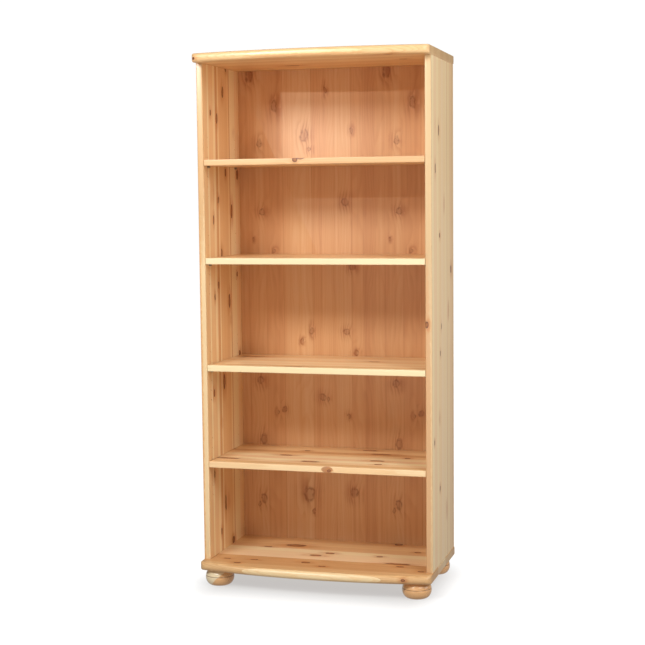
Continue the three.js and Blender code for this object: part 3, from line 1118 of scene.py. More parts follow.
@dataclass(frozen=True)
class MetalFinish:
    """Bright zinc plate with a faint yellow cast and a fine satin.

    Attributes:
        name: The material's name.
        colour: The plate's colour.
    """

    name: str
    colour: Colour

    CLOUD: Colour = (0.66, 0.62, 0.50)

    def material(self) -> bpy.types.Material:
        """Makes the material: cloudy plating with fine turning marks.

        Returns:
            The material.
        """
        graph = Graph(bpy.data.materials.new(self.name))
        point = graph.millimetres()
        cloud = graph.noise(point, 0.6, 3.0, 0.6)
        marks = graph.stretched(point, (9.0, 1.0, 9.0))
        return graph.finish(
            Base_Color=graph.mix(cloud * 0.5, linear(self.colour), linear(self.CLOUD)),
            Metallic=1.0,
            Roughness=cloud * 0.2 + 0.22,
            Normal=graph.bump(marks, 0.15, 0.0002),
        )


@dataclass(frozen=True)
class DowelFinish:
    """Raw beech with short dark flecks."""

    name: str = "raw_beech"

    PALE: Colour = (0.87, 0.74, 0.58)
    FLECK: Colour = (0.68, 0.49, 0.33)

    def material(self) -> bpy.types.Material:
        """Makes the material: pale wood with flecks stretched along Z.

        Returns:
            The material.
        """
        graph = Graph(bpy.data.materials.new(self.name))
        point = graph.millimetres()
        flecks = graph.smooth(graph.stretched(point, (1.6, 1.6, 0.35)), 0.55, 0.7)
        fibre = graph.stretched(point, (3.0, 3.0, 0.15))
        return graph.finish(
            Base_Color=graph.mix(flecks, linear(self.PALE), linear(self.FLECK)),
            Roughness=fibre * 0.2 + 0.6,
            Normal=graph.bump(fibre, 0.3, 0.0003),
        )


@dataclass(frozen=True)
class PlasticFinish:
    """Pine-coloured moulded plastic with a fine moulded grain."""

    name: str = "cover_cap_plastic"

    PALE: Colour = (0.87, 0.69, 0.47)
    DARK: Colour = (0.82, 0.62, 0.40)

    def material(self) -> bpy.types.Material:
        """Makes the material: one warm colour with slight mottling and a fine spark texture.

        Returns:
            The material.
        """
        graph = Graph(bpy.data.materials.new(self.name))
        point = graph.millimetres()
        spark = graph.noise(point, 5.0, 3.0, 0.7)
        return graph.finish(
            Base_Color=graph.mix(graph.noise(point, 0.5), linear(self.PALE), linear(self.DARK)),
            Roughness=spark * 0.15 + 0.38,
            Normal=graph.bump(spark, 0.25, 0.0002),
        )


@dataclass(frozen=True)
class FloorFinish:
    """A plain pale studio floor that glows white, with a painted shadow: its glow is lower under the
    bookcase.

    Attributes:
        name: The material's name.
        half: Half the size of the darkest part of the painted shadow in metres, across and deep.
        under: The floor's own glow in that patch, lowered as a painted shadow.
        clear: The glow away from it.
        fade: How far outside the patch the painted shadow has faded to the whole glow, in metres, across
            and deep.
        paint: The two greys of the mottled paint.
    """

    name: str = "studio_floor"
    half: tuple[float, float] = (0.31, 0.10)
    under: float = 0.50
    clear: float = 1.0
    fade: tuple[float, float] = (0.17, 0.31)
    paint: tuple[float, float] = (0.19, 0.21)

    def material(self) -> bpy.types.Material:
        """Makes the material: pale matt paint whose glow grows with distance from the patch, which
        paints a soft shadow under the bookcase.

        The distance is the length of how far a point lies outside the patch across and deep, each
        over its fade.

        Returns:
            The material.
        """
        graph = Graph(bpy.data.materials.new(self.name))
        x, y, z = graph.split(graph.add("TexCoord", {}, {}, "Object"))
        beyond = [
            graph.math("MAXIMUM", graph.math("ABSOLUTE", place) - half, 0.0) / fade
            for place, half, fade in zip((x, y), self.half, self.fade)
        ]
        outside = graph.vector("LENGTH", {0: graph.join(*beyond, 0.0)}, "Value")
        # The glow is lowest under the bookcase and rises outside it: a painted soft shadow on the floor.
        glow = graph.smooth(outside, 0.0, 1.0) * (self.clear - self.under) + self.under
        dark, pale = ((grey, grey, grey, 1.0) for grey in self.paint)
        return graph.finish(
            Base_Color=graph.mix(graph.noise(graph.join(x, y, z), 3.0, 3.0), dark, pale),
            Roughness=0.8,
            Emission_Color=graph.join(glow, glow, glow),
            Emission_Strength=1.0,
        )


# ---- The boards' own finishes -----------------------------------------------------------------------


def staves_of(*rows: tuple[float, ...]) -> tuple[Stave, ...]:
    """Staves from rows that each hold an edge, a tone and, if there is any, a blush."""
    return tuple(Stave(*row) for row in rows)


def knots_of(*rows: tuple[float, ...]) -> tuple[Knot, ...]:
    """Knots from rows that each hold a middle and then the half sizes, all along X, Y and Z."""
    return tuple(Knot(row[:3], row[3:]) for row in rows)


def side_finish(side: str) -> PineFinish:
    """The wood of one side panel: staves side by side along Y, grain upright; the left panel's front
    edge has painted shade on its outer rounding.

    Args:
        side: Which side, "left" or "right".

    Returns:
        The finish.
    """
    left_staves = staves_of(
        (-142, 0.50), (-102, 0.0), (-90, 0.46), (-51, 0.12), (-28, 0.84), (-7, 0.0), (3, 0.54),
        (88, 0.2), (103, 0.92), (111, 0.0), (164, 0.22, 0.3), (188, 0.42),
    )
    left_knots = knots_of(
        (-366, 47, 1632, 16, 8, 19), (-366, -13, 1542, 14, 7, 18), (-366, -72, 1557, 8, 6, 10),
        (-366, 82, 1712, 8, 7, 10), (-366, 65, 1363, 12, 7, 13), (-366, 184, 1358, 12, 9, 17),
        (-366, -9, 1270, 10, 6, 11), (-366, 121, 1231, 14, 8, 24), (-366, -57, 1206, 12, 6, 15),
        (-366, 17, 1093, 12, 7, 15), (-366, 169, 1014, 9, 6, 9), (-366, -18, 987, 9, 6, 12),
        (-366, -55, 949, 9, 6, 11), (-366, 86, 925, 10, 9, 24), (-366, 184, 736, 9, 8, 9),
        (-366, 22, 656, 14, 10, 26), (-366, -76, 630, 9, 7, 13), (-366, -86, 358, 8, 6, 14),
        (-366, 18, 238, 12, 8, 26), (-366, -26, 148, 8, 6, 12), (-366, 90, 92, 10, 12, 12),
        (-387, -60, 1290, 14, 10, 18), (-387, 95, 860, 14, 9, 15), (-387, -10, 520, 12, 8, 14),
        (-387, 150, 1500, 10, 8, 12), (-387, 40, 240, 14, 12, 18),
    )
    right_staves = staves_of(
        (-142, 0.06), (-108, 0.26, 0.3), (-62, 0.14), (-34, 0.30), (8, 0.02, 0.45), (44, 0.22),
        (86, 0.04, 0.2), (101, 0.60), (109, 0.22), (150, 0.34, 0.3), (187, 0.50),
    )
    right_knots = knots_of(
        (387, -27, 1484, 8, 7, 16), (387, -82, 1363, 5, 6, 16), (387, -16, 1151, 6, 6, 8),
        (387, 172, 1033, 9, 9, 13), (387, 9, 858, 5, 4, 11), (387, -9, 771, 6, 5, 9),
        (387, -105, 494, 6, 5, 8), (387, -17, 331, 4, 6, 8), (371, -142, 874, 5, 8, 11),
        (366, 60, 1250, 12, 8, 16), (366, 130, 900, 12, 9, 18), (366, -20, 560, 12, 8, 14),
        (366, 90, 240, 12, 10, 18), (366, -80, 1500, 10, 7, 14),
    )
    painted_shade_peach = (0.86, 0.63, 0.42)
    cream = (0.92, 0.80, 0.62)
    if side == "left":
        staves, knots, seed, depth = left_staves, left_knots, 3.1, -376.5
        washes = (
            # The front edge in two bands: a darker peach outer band, painted shade on the outer
            # rounding, and a pale cream inner band for the lit face.
            Wash((-390, -141, 900), (9.5, 6, 2400), painted_shade_peach, 0.8),
            Wash((-371, -141, 900), (8.5, 6, 2400), cream, 0.9),
            # Darker towards the top of the front edge.
            Wash((-377, -141, 1700), (16, 6, 620), (0.84, 0.655, 0.455), 0.8),
        )
    else:
        staves, knots, seed, depth = right_staves, right_knots, 8.4, 376.5
        washes = (
            Wash((376, -141, 900), (16, 6, 2400), (0.835, 0.70, 0.525), 0.9),
            Wash((371, -141, 480), (12, 6, 640), (0.85, 0.655, 0.465), 0.8),
            Wash((387, -141, 480), (5, 6, 700), (0.90, 0.76, 0.57), 0.8),
        )
    return PineFinish(
        f"pine_side_{side}", Axis.Z, Axis.Y, Axis.X, (-142.0, 220.0), (81.0, 1712.0),
        staves, knots, washes, seed, depth,
    )


def top_finish() -> PineFinish:
    """The wood of the top board: grain along X, staves side by side along Y, with painted shade and a
    painted highlight along the nose.

    Returns:
        The finish.
    """
    staves = staves_of(
        (-224, 0.60), (-190, 0.55), (-150, 0.30), (-112, 0.60), (-66, 0.40), (-10, 0.66), (38, 0.5),
        (90, 0.62), (134, 0.35), (180, 0.55),
    )
    knots = knots_of(
        (-122, 60, 1712, 26, 10, 6), (271, -20, 1712, 14, 8, 5), (262, -188, 1714, 20, 6, 4),
        (-381, -190, 1723, 8, 9, 6), (-210, -60, 1740, 22, 9, 7), (90, 20, 1740, 24, 10, 8),
        (240, 130, 1740, 18, 9, 7), (-60, 160, 1740, 16, 8, 6), (320, -110, 1740, 14, 7, 6),
    )
    washes = (
        # Painted shade: a darker band along the lower half of the nose.
        Wash((0, -226, 1717), (700, 16, 5), (0.87, 0.66, 0.45), 0.75),
        # Painted highlight: a cream band along the upper part of the nose.
        Wash((-60, -224, 1727), (430, 12, 5), (0.94, 0.84, 0.65), 0.5),
    )
    return PineFinish(
        "pine_top", Axis.X, Axis.Y, Axis.Z, (-224.0, 224.0), (-389.0, 389.0),
        staves, knots, washes, 5.6, 1726.0,
    )


def base_finish() -> PineFinish:
    """The wood of the base board: a pale stave that the bowed front lays bare at its middle, and a
    painted highlight along the nose.

    Returns:
        The finish.
    """
    staves = staves_of(
        (-224, 0.24), (-211, 0.72), (-165, 0.92), (-63, 0.20, 0.45), (-8, 0.16, 0.2), (22, 0.0),
        (60, 0.60), (112, 0.46), (166, 0.70),
    )
    knots = knots_of(
        (-315, -118, 81, 12, 5, 6), (-265, -161, 81, 13, 7, 6), (-221, -112, 81, 13, 6, 6),
        (-46, -106, 81, 15, 7, 6), (19, -141, 81, 13, 6, 6), (-40, -9, 81, 22, 8, 8),
        (1, 28, 81, 16, 8, 8), (-142, 106, 81, 36, 14, 8), (-231, 68, 81, 14, 6, 6),
        (173, 23, 81, 12, 7, 6), (198, 200, 81, 14, 14, 6), (286, 106, 81, 12, 8, 6),
        (252, -56, 81, 44, 7, 8), (267, -87, 81, 13, 6, 6), (346, -131, 81, 12, 6, 6),
        (303, -203, 68, 7, 12, 5), (-180, 60, 53, 22, 9, 8), (140, -60, 53, 24, 10, 8),
        (30, 140, 53, 18, 9, 7),
    )
    # Painted highlight: a cream band along the top of the nose.
    washes = (Wash((0, -226, 79), (720, 16, 4), (0.95, 0.82, 0.62), 0.4),)
    return PineFinish(
        "pine_base", Axis.X, Axis.Y, Axis.Z, (-224.0, 224.0), (-389.0, 389.0),
        staves, knots, washes, 2.2, 67.0,
    )


def shelf_finish(shelf: str) -> PineFinish:
    """The wood of one shelf: its first stave shows on the front edge.

    Args:
        shelf: The shelf's name.

    Returns:
        The finish.
    """
    staves = {
        "shelf_4": staves_of(
            (-142, 0.88, 0.25), (-98, 0.5), (-30, 0.4), (40, 0.6), (120, 0.5),
        ),
        "shelf_3": staves_of(
            (-142, 0.02), (-120, 0.5, 0.2), (-60, 0.62), (20, 0.5), (110, 0.6),
        ),
        "shelf_2": staves_of(
            (-142, 0.10), (-120, 0.70), (-82, 0.05, 0.2), (-62, 0.36, 0.3), (-18, 0.1, 0.2),
            (14, 0.44), (52, 0.72), (58, 0.12, 0.3), (120, 0.5), (168, 0.3),
        ),
        "shelf_1": staves_of(
            (-142, 0.30, 0.2), (-128, 0.68), (-98, 0.26, 0.3), (-66, 0.0), (-34, 0.42, 0.4),
            (0, 0.04, 0.1), (40, 0.44), (76, 0.84), (112, 0.34), (160, 0.56),
        ),
    }
    knots = {
        "shelf_4": knots_of(
            (-56, -142, 1397, 9, 10, 9), (-36, -142, 1402, 14, 8, 4), (150, 30, 1402, 24, 9, 6),
            (-180, -40, 1402, 20, 8, 6), (90, 60, 1382, 22, 9, 6), (-220, 120, 1382, 18, 8, 6),
        ),
        "shelf_3": knots_of(
            (-120, -20, 1082, 22, 8, 6), (210, 70, 1082, 20, 9, 6), (40, -60, 1062, 22, 9, 6),
            (-240, 90, 1062, 18, 8, 6),
        ),
        "shelf_2": knots_of(
            (-298, 134, 730, 44, 9, 6), (-75, -116, 730, 34, 5, 5), (150, 60, 730, 20, 8, 6),
            (-60, 20, 710, 22, 9, 6), (220, -50, 710, 18, 8, 6),
        ),
        "shelf_1": knots_of(
            (-151, 29, 410, 24, 8, 7), (-39, -67, 410, 32, 9, 8), (-103, 124, 410, 11, 8, 6),
            (-325, -67, 410, 44, 9, 6), (105, 173, 410, 28, 8, 6), (161, 110, 410, 38, 8, 6),
            (174, -7, 410, 24, 9, 7), (192, -68, 410, 13, 7, 6), (262, 59, 410, 10, 8, 5),
            (46, -142, 397, 6, 9, 4), (-160, 60, 390, 20, 9, 6), (120, 20, 390, 22, 9, 6),
        ),
    }
    middle = {"shelf_4": 1392.0, "shelf_3": 1072.0, "shelf_2": 720.0, "shelf_1": 400.0}[shelf]
    washes = {
        "shelf_4": (Wash((-290, -142, middle), (170, 6, 12), (0.92, 0.76, 0.56), 0.5),),
        "shelf_3": (Wash((0, -142, middle), (900, 5, 14), (0.97, 0.88, 0.71), 0.85),),
        "shelf_2": (Wash((0, -142, middle), (900, 5, 14), (0.96, 0.87, 0.69), 0.8),),
        "shelf_1": (
            Wash((150, -142, middle), (120, 5, 12), (0.95, 0.76, 0.54), 0.4),
            Wash((40, -142, middle), (20, 8, 11), (0.70, 0.47, 0.29), 0.9),
        ),
    }
    seed = 1.7 + 2.9 * SHELVES.index(shelf)
    return PineFinish(
        f"pine_{shelf}", Axis.X, Axis.Y, Axis.Z, (-142.0, 207.0), (-366.5, 366.5),
        staves[shelf], knots[shelf], washes[shelf], seed, middle,
    )


def back_finish() -> PrintFinish:
    """The print of the back panel: six planks to a repeat, each with its knots.

    Returns:
        The finish.
    """
    start, period = -366.0, 488.0
    places = (
        (-325, 1697, 14, 20), (-236, 1592, 11, 22), (-292, 1466, 10, 15), (-53, 1641, 5, 12),
        (-128, 1488, 15, 20), (-112, 1440, 9, 9), (38, 1503, 6, 10), (-285, 1228, 11, 12),
        (14, 1260, 13, 15), (-316, 1134, 4, 7), (-243, 1092, 7, 9), (37, 1038, 11, 12),
        (-108, 815, 8, 14), (17, 814, 11, 12), (-145, 780, 6, 8), (49, 742, 8, 10),
        (-297, 639, 12, 15), (-71, 585, 12, 12), (-236, 527, 6, 9), (-212, 537, 9, 12),
        (-50, 580, 6, 8), (22, 522, 6, 8), (-290, 218, 11, 18), (-305, 195, 4, 10),
        (-124, 241, 19, 28), (-108, 181, 7, 9), (39, 252, 14, 18), (-289, 430, 12, 20),
    )
    rows = (((x - start) % period, 0.0, z, wide, 8.0, tall) for x, z, wide, tall in places)
    planks = staves_of(
        (0, 0.45), (30, 0.62), (33, 0.42), (92, 0.55), (156, 0.68), (159, 0.36, 0.2),
        (196, 0.26, 0.3), (260, 0.66), (263, 0.50), (296, 0.44), (344, 0.32, 0.2), (400, 0.66),
        (403, 0.48), (442, 0.62),
    )
    return PrintFinish("printed_back", period, start, 210.6, planks, knots_of(*rows))


# ---- Sub-assemblies ---------------------------------------------------------------------------------


def settle(piece: bpy.types.Object, body: str, slot: str, look: bpy.types.Material, *nodes: str) -> None:
    """Gives a piece its material, and puts it on its body in place of its frame nodes.

    Args:
        piece: The piece.
        body: The body that it moves with.
        slot: Its material slot; not used.
        look: Its material.
        *nodes: The frame's nodes that it replaces.
    """
    piece.data.materials.append(look)
    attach(piece, body)
    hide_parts(*nodes)
    log.info("%s: %d faces, on %s", piece.name, len(piece.data.polygons), body)


def upright(node: str) -> tuple[Triple, float, float]:
    """Where an upright round node stands, and how big it is.

    Args:
        node: The frame's node.

    Returns:
        The middle of its lower end in metres, then its length and its radius in millimetres.
    """
    low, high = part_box(node)
    middle = (low + high) / 2
    return (middle.x, middle.y, low.z), (high.z - low.z) / MM, (high.y - low.y) / 2 / MM


def thread(
    along: np.ndarray, pitch: float, sides: int, depth: float, sharp: float = 1.0
) -> np.ndarray:
    """The swell of a screw thread: a wave that rises by its pitch in one turn.

    Args:
        along: The places of the rows along the thread.
        pitch: From one ridge to the next.
        sides: How many points a row has.
        depth: How deep the thread is cut, as a part of the radius.
        sharp: The power that the wave is raised to, which narrows the cut.

    Returns:
        The swell of every point, row by row.
    """
    angle = np.linspace(0, 2 * math.pi, sides, endpoint=False)
    turn = along[:, None] / pitch - angle[None] / (2 * math.pi)
    return 1.0 - depth * np.abs(2 * (turn % 1.0) - 1.0) ** sharp


PLAN = np.eye(3)


@dataclass
class SidePanels:
    """The two side panels, with their rows of pin holes and the groove for the back panel.

    Attributes:
        front_edge: The rounding of the front edges.
        other_edge: The easing of the other edges.
        pin_hole_radius: The radius of a pin hole.
        pin_hole_depth: How deep a pin hole is.
        pitch: Between neighbouring holes.
        steps: Holes above and below the one in use.
        groove_depth: The groove's depth.
        groove_width: The groove's width.
        groove_from_rear: From the rear edge to the groove.
    """

    front_edge: float = 3.0 * MM
    other_edge: float = 0.7 * MM
    pin_hole_radius: float = 2.7 * MM
    pin_hole_depth: float = 10.0 * MM
    pitch: float = 32.0 * MM
    steps: int = 3
    groove_depth: float = 7.0 * MM
    groove_width: float = 4.0 * MM
    groove_from_rear: float = 8.0 * MM

    def build(self) -> None:
        """Makes both panels."""
        for side in SIDES:
            low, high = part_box(f"side_panel_{side}")
            wells = []
            for shelf in SHELVES:
                for end in ENDS:
                    pin_low, pin_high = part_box(f"{shelf}_pin_{end}_{side}")
                    middle = (pin_low + pin_high) / 2
                    for step in range(-self.steps, self.steps + 1):
                        centre = (middle.y, middle.z + step * self.pitch)
                        wells.append(Well(centre, self.pin_hole_radius, self.pin_hole_depth))
            rear = high.y - self.groove_from_rear
            stop = 4.0 * MM
            groove = ((rear - self.groove_width, low.z + stop), (rear, high.z - stop))
            inner = Lid(wells, groove, self.groove_depth)
            edges = (self.other_edge, self.other_edge, self.other_edge, self.front_edge)
            outline = plain_outline((low.y, low.z), (high.y, high.z), 1.0 * MM, edges)
            inward = 1.0 if side == "left" else -1.0
            axes = np.array([[0, 1, 0], [0, 0, 1], [inward, 0, 0]], float)
            outer_x = low.x if side == "left" else high.x
            shape = BoardShape(outline, high.x - low.x, (outer_x, 0.0, 0.0), axes, upper=inner)
            panel = shape.build(f"panel_{side}")
            settle(panel, CARCASS, "pine", side_finish(side).material(), f"side_panel_{side}")


@dataclass
class CapBoards:
    """The bowed top board and base board, with a round nose along the front.

    Attributes:
        bow: How far the front stands out at its middle.
        corner: The radius of the front corners, seen from above.
        rear_corner: The radius of the rear corners.
        nose: The rounding of the bowed front edge.
        arris: The rounding of the side and rear edges.
        well_radius: The radius of the wells over the screws.
        well_depth: How deep those wells are.
        groove_depth: The depth of the back panel's groove.
        groove_play: How much wider than the back panel the groove is.
    """

    bow: float = 38.0 * MM
    corner: float = 25.0 * MM
    rear_corner: float = 5.0 * MM
    nose: float = 13.0 * MM
    arris: float = 4.0 * MM
    well_radius: float = 6.1 * MM
    well_depth: float = 3.0 * MM
    groove_depth: float = 5.0 * MM
    groove_play: float = 1.0 * MM

    def outline(self, low: Vector, high: Vector) -> Outline:
        """The outline seen from above.

        The front is an arc through the corners' rounds and the middle of the bow. Its radius is the
        half width squared plus the bow squared, over twice the bow. The nose fades into the arris
        round each front corner with a smooth step.

        Args:
            low: The board's lowest corner.
            high: The board's highest corner.

        Returns:
            The outline.
        """
        half = (high.x - low.x) / 2
        radius = (half**2 + self.bow**2) / (2 * self.bow)
        centre_y = low.y + radius
        corner_x = half - self.corner
        corner_y = centre_y - math.sqrt((radius - self.corner) ** 2 - corner_x**2)
        join = math.atan2(corner_y - centre_y, corner_x)
        rear_x = half - self.rear_corner
        rear_y = high.y - self.rear_corner
        t = np.linspace(0, 1, 19)
        fade = self.nose + (self.arris - self.nose) * t * t * (3 - 2 * t)
        quarter = math.pi / 2
        last = 3 * math.pi / 2 - (join + quarter)
        return Outline.joined([
            (0.0, centre_y, radius, -math.pi - join, join, 96, self.nose),
            (corner_x, corner_y, self.corner, join, 0.0, 18, fade),
            (rear_x, rear_y, self.rear_corner, 0.0, quarter, 5, self.arris),
            (-rear_x, rear_y, self.rear_corner, quarter, 2 * quarter, 5, self.arris),
            (-corner_x, corner_y, self.corner, 2 * quarter, last, 18, fade[::-1]),
        ])

    def wells(self, board: str) -> Lid:
        """The face with a well over each screw.

        Args:
            board: Which board, "top" or "base".

        Returns:
            The face.
        """
        lid = Lid(reach=6.4 * MM)
        for side in SIDES:
            for end in ENDS:
                low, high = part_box(f"{board}_screw_{end}_{side}")
                middle = (low + high) / 2
                lid.wells.append(Well((middle.x, middle.y), self.well_radius, self.well_depth))
        return lid

    def grooved(self) -> Lid:
        """The face with the back panel's groove.

        Returns:
            The face.
        """
        low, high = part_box("back_panel")
        play = self.groove_play / 2
        groove = ((low.x - play, low.y - play), (high.x + play, high.y + play))
        return Lid(groove=groove, groove_depth=self.groove_depth)

    def build(self) -> None:
        """Makes both boards."""
        for board, finish in (("top", top_finish()), ("base", base_finish())):
            low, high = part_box(f"{board}_board")
            wells, groove = self.wells(board), self.grooved()
            lower, upper = (groove, wells) if board == "top" else (wells, groove)
            shape = BoardShape(
                self.outline(low, high), high.z - low.z, (0.0, 0.0, low.z), PLAN, lower, upper, steps=10
            )
            settle(shape.build(f"{board}_bowed"), CARCASS, "pine", finish.material(), f"{board}_board")


@dataclass
class Shelves:
    """The four shelves and the pins that they lie on.

    Attributes:
        front_edge: The rounding of the front edges.
        other_edge: The easing of the other edges.
        stem_radius: The radius of a pin's stem.
        head_radius: The radius of a pin's head.
        stem: The length of a pin's stem in millimetres.
        head: The length of a pin's head in millimetres.
    """

    front_edge: float = 2.5 * MM
    other_edge: float = 0.7 * MM
    stem_radius: float = 2.5
    head_radius: float = 3.5
    stem: float = 9.5
    head: float = 8.0

    def build(self) -> None:
        """Makes every shelf with its four pins."""
        zinc = MetalFinish("zinc_pins", (0.62, 0.58, 0.52)).material()
        for shelf in SHELVES:
            low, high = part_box(shelf)
            edges = (self.front_edge, self.other_edge, self.other_edge, self.other_edge)
            outline = plain_outline((low.x, low.y), (high.x, high.y), 1.2 * MM, edges)
            shape = BoardShape(outline, high.z - low.z, (0.0, 0.0, low.z), PLAN)
            settle(shape.build(f"{shelf}_board"), shelf, "pine", shelf_finish(shelf).material(), shelf)
            for side in SIDES:
                for end in ENDS:
                    self._pin(shelf, end, side, zinc)

    def _pin(self, shelf: str, end: str, side: str, zinc: bpy.types.Material) -> None:
        """Makes one pin: a stem with a pointed end, and a head with a turned groove.

        Args:
            shelf: The shelf that lies on it.
            end: Which end of the side panel, "front" or "rear".
            side: Which side, "left" or "right".
            zinc: Its material.
        """
        node = f"{shelf}_pin_{end}_{side}"
        low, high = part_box(node)
        sign = 1.0 if side == "left" else -1.0
        wall = (low.x if side == "left" else high.x) + sign * self.stem * MM
        stem, head, waist = self.stem_radius, self.head_radius, self.head_radius - 0.4
        corners = [
            (0, -self.stem), (stem - 0.7, -self.stem), (stem, -self.stem + 1.2), (stem, -0.01),
            (head, 0.0), (head, 1.2), (waist, 1.5), (waist, 1.9), (head, 2.2), (head, self.head),
            (0, self.head),
        ]
        profile = rounded_profile(corners, 0.4)
        profile[:, 1] *= sign
        middle = (low + high) / 2
        piece = turned(f"{node}_turned", profile, 32, (wall, middle.y, middle.z), Axis.X)
        settle(piece, shelf, "zinc_steel", zinc, node)


@dataclass
class BackPanel:
    """The thin printed panel that slides in the grooves."""

    edge: float = 0.25 * MM

    def build(self) -> None:
        """Makes the panel."""
        low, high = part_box("back_panel")
        outline = plain_outline((low.x, low.z), (high.x, high.z), 0.5 * MM, (self.edge,) * 4)
        axes = np.array([[1, 0, 0], [0, 0, 1], [0, 1, 0]], float)
        shape = BoardShape(outline, high.y - low.y, (0.0, low.y, 0.0), axes, steps=2)
        look = back_finish().material()
        settle(shape.build("back_sheet"), CARCASS, "printed_board", look, "back_panel")


@dataclass
class Feet:
    """The four turned bun feet and their bolts.

    Attributes:
        flat_radius: The radius of the flat top and bottom in millimetres.
        groove_at: The height of the turned ring in millimetres.
        groove_depth: How deep the ring is cut in millimetres.
        groove_width: How wide the ring is in millimetres.
        thread_pitch: The bolts' thread in millimetres.
    """

    flat_radius: float = 27.0
    groove_at: float = 31.5
    groove_depth: float = 0.8
    groove_width: float = 0.9
    thread_pitch: float = 1.25

    def finish(self, label: str, centre: Vector) -> FootFinish:
        """The wood of one foot.

        Args:
            label: Which foot, such as "front_left".
            centre: Its middle.

        Returns:
            The finish.
        """
        slope = {"front_left": (1.05, 0.55), "front_right": (0.3, 0.05), "rear_left": (-0.5, 0.4)}
        pale_side, pale = slope.get(label, (0.3, 0.35))
        middle = tuple(value / MM for value in centre)
        row = (34, -26, 8, 6, 10, 6) if label == "rear_right" else (-30, 30, 4, 6, 8, 5)
        return FootFinish(
            f"pine_foot_{label}", middle, pale_side, pale, self.groove_at, knots_of(row)
        )

    def build(self) -> None:
        """Makes every foot and bolt.

        A foot's side bulges out by the cosine of an angle as its height rises with the sine, and a
        bell-shaped dip cuts the ring.
        """
        steel = MetalFinish("bolt_steel", (0.72, 0.72, 0.73)).material()
        for end in ENDS:
            for side in SIDES:
                label = f"{end}_{side}"
                low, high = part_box(f"foot_{label}")
                centre = (low + high) / 2
                half = (high.z - low.z) / 2 / MM
                bulge = (high.y - low.y) / 2 / MM - self.flat_radius
                angle = np.linspace(-math.pi / 2, math.pi / 2, 97)
                height = half * (1 + np.sin(angle))
                radius = self.flat_radius + bulge * np.cos(angle)
                dip = np.exp(-(((height - self.groove_at) / self.groove_width) ** 2))
                radius -= self.groove_depth * dip
                radius = np.concatenate([[0.0], radius, [0.0]])
                height = np.concatenate([[0.0], height, [2 * half]])
                profile = np.stack([radius, height], axis=-1) * MM
                foot = turned(f"bun_{label}", profile, 96, (centre.x, centre.y, low.z), crease=60.0)
                look = self.finish(label, centre).material()
                settle(foot, CARCASS, "pine_foot", look, f"foot_{label}")
                self._bolt(label, steel)

    def _bolt(self, label: str, steel: bpy.types.Material) -> None:
        """Makes one threaded bolt.

        Args:
            label: Which foot it holds, such as "front_left".
            steel: Its material.
        """
        node = f"foot_bolt_{label}"
        foot, length, radius = upright(node)
        height = np.linspace(0.0, length, 181)
        cut = thread(height, self.thread_pitch, 24, 0.14)
        swell = np.concatenate([cut[:1], cut, cut[-1:]])
        height = np.concatenate([[0.0], height, [length]])
        profile = np.stack([np.full_like(height, radius), height], axis=-1) * MM
        profile[[0, -1], 0] = 0.0
        bolt = turned(f"{node}_threaded", profile, 24, foot, swell=swell)
        settle(bolt, CARCASS, "zinc_steel", steel, node)


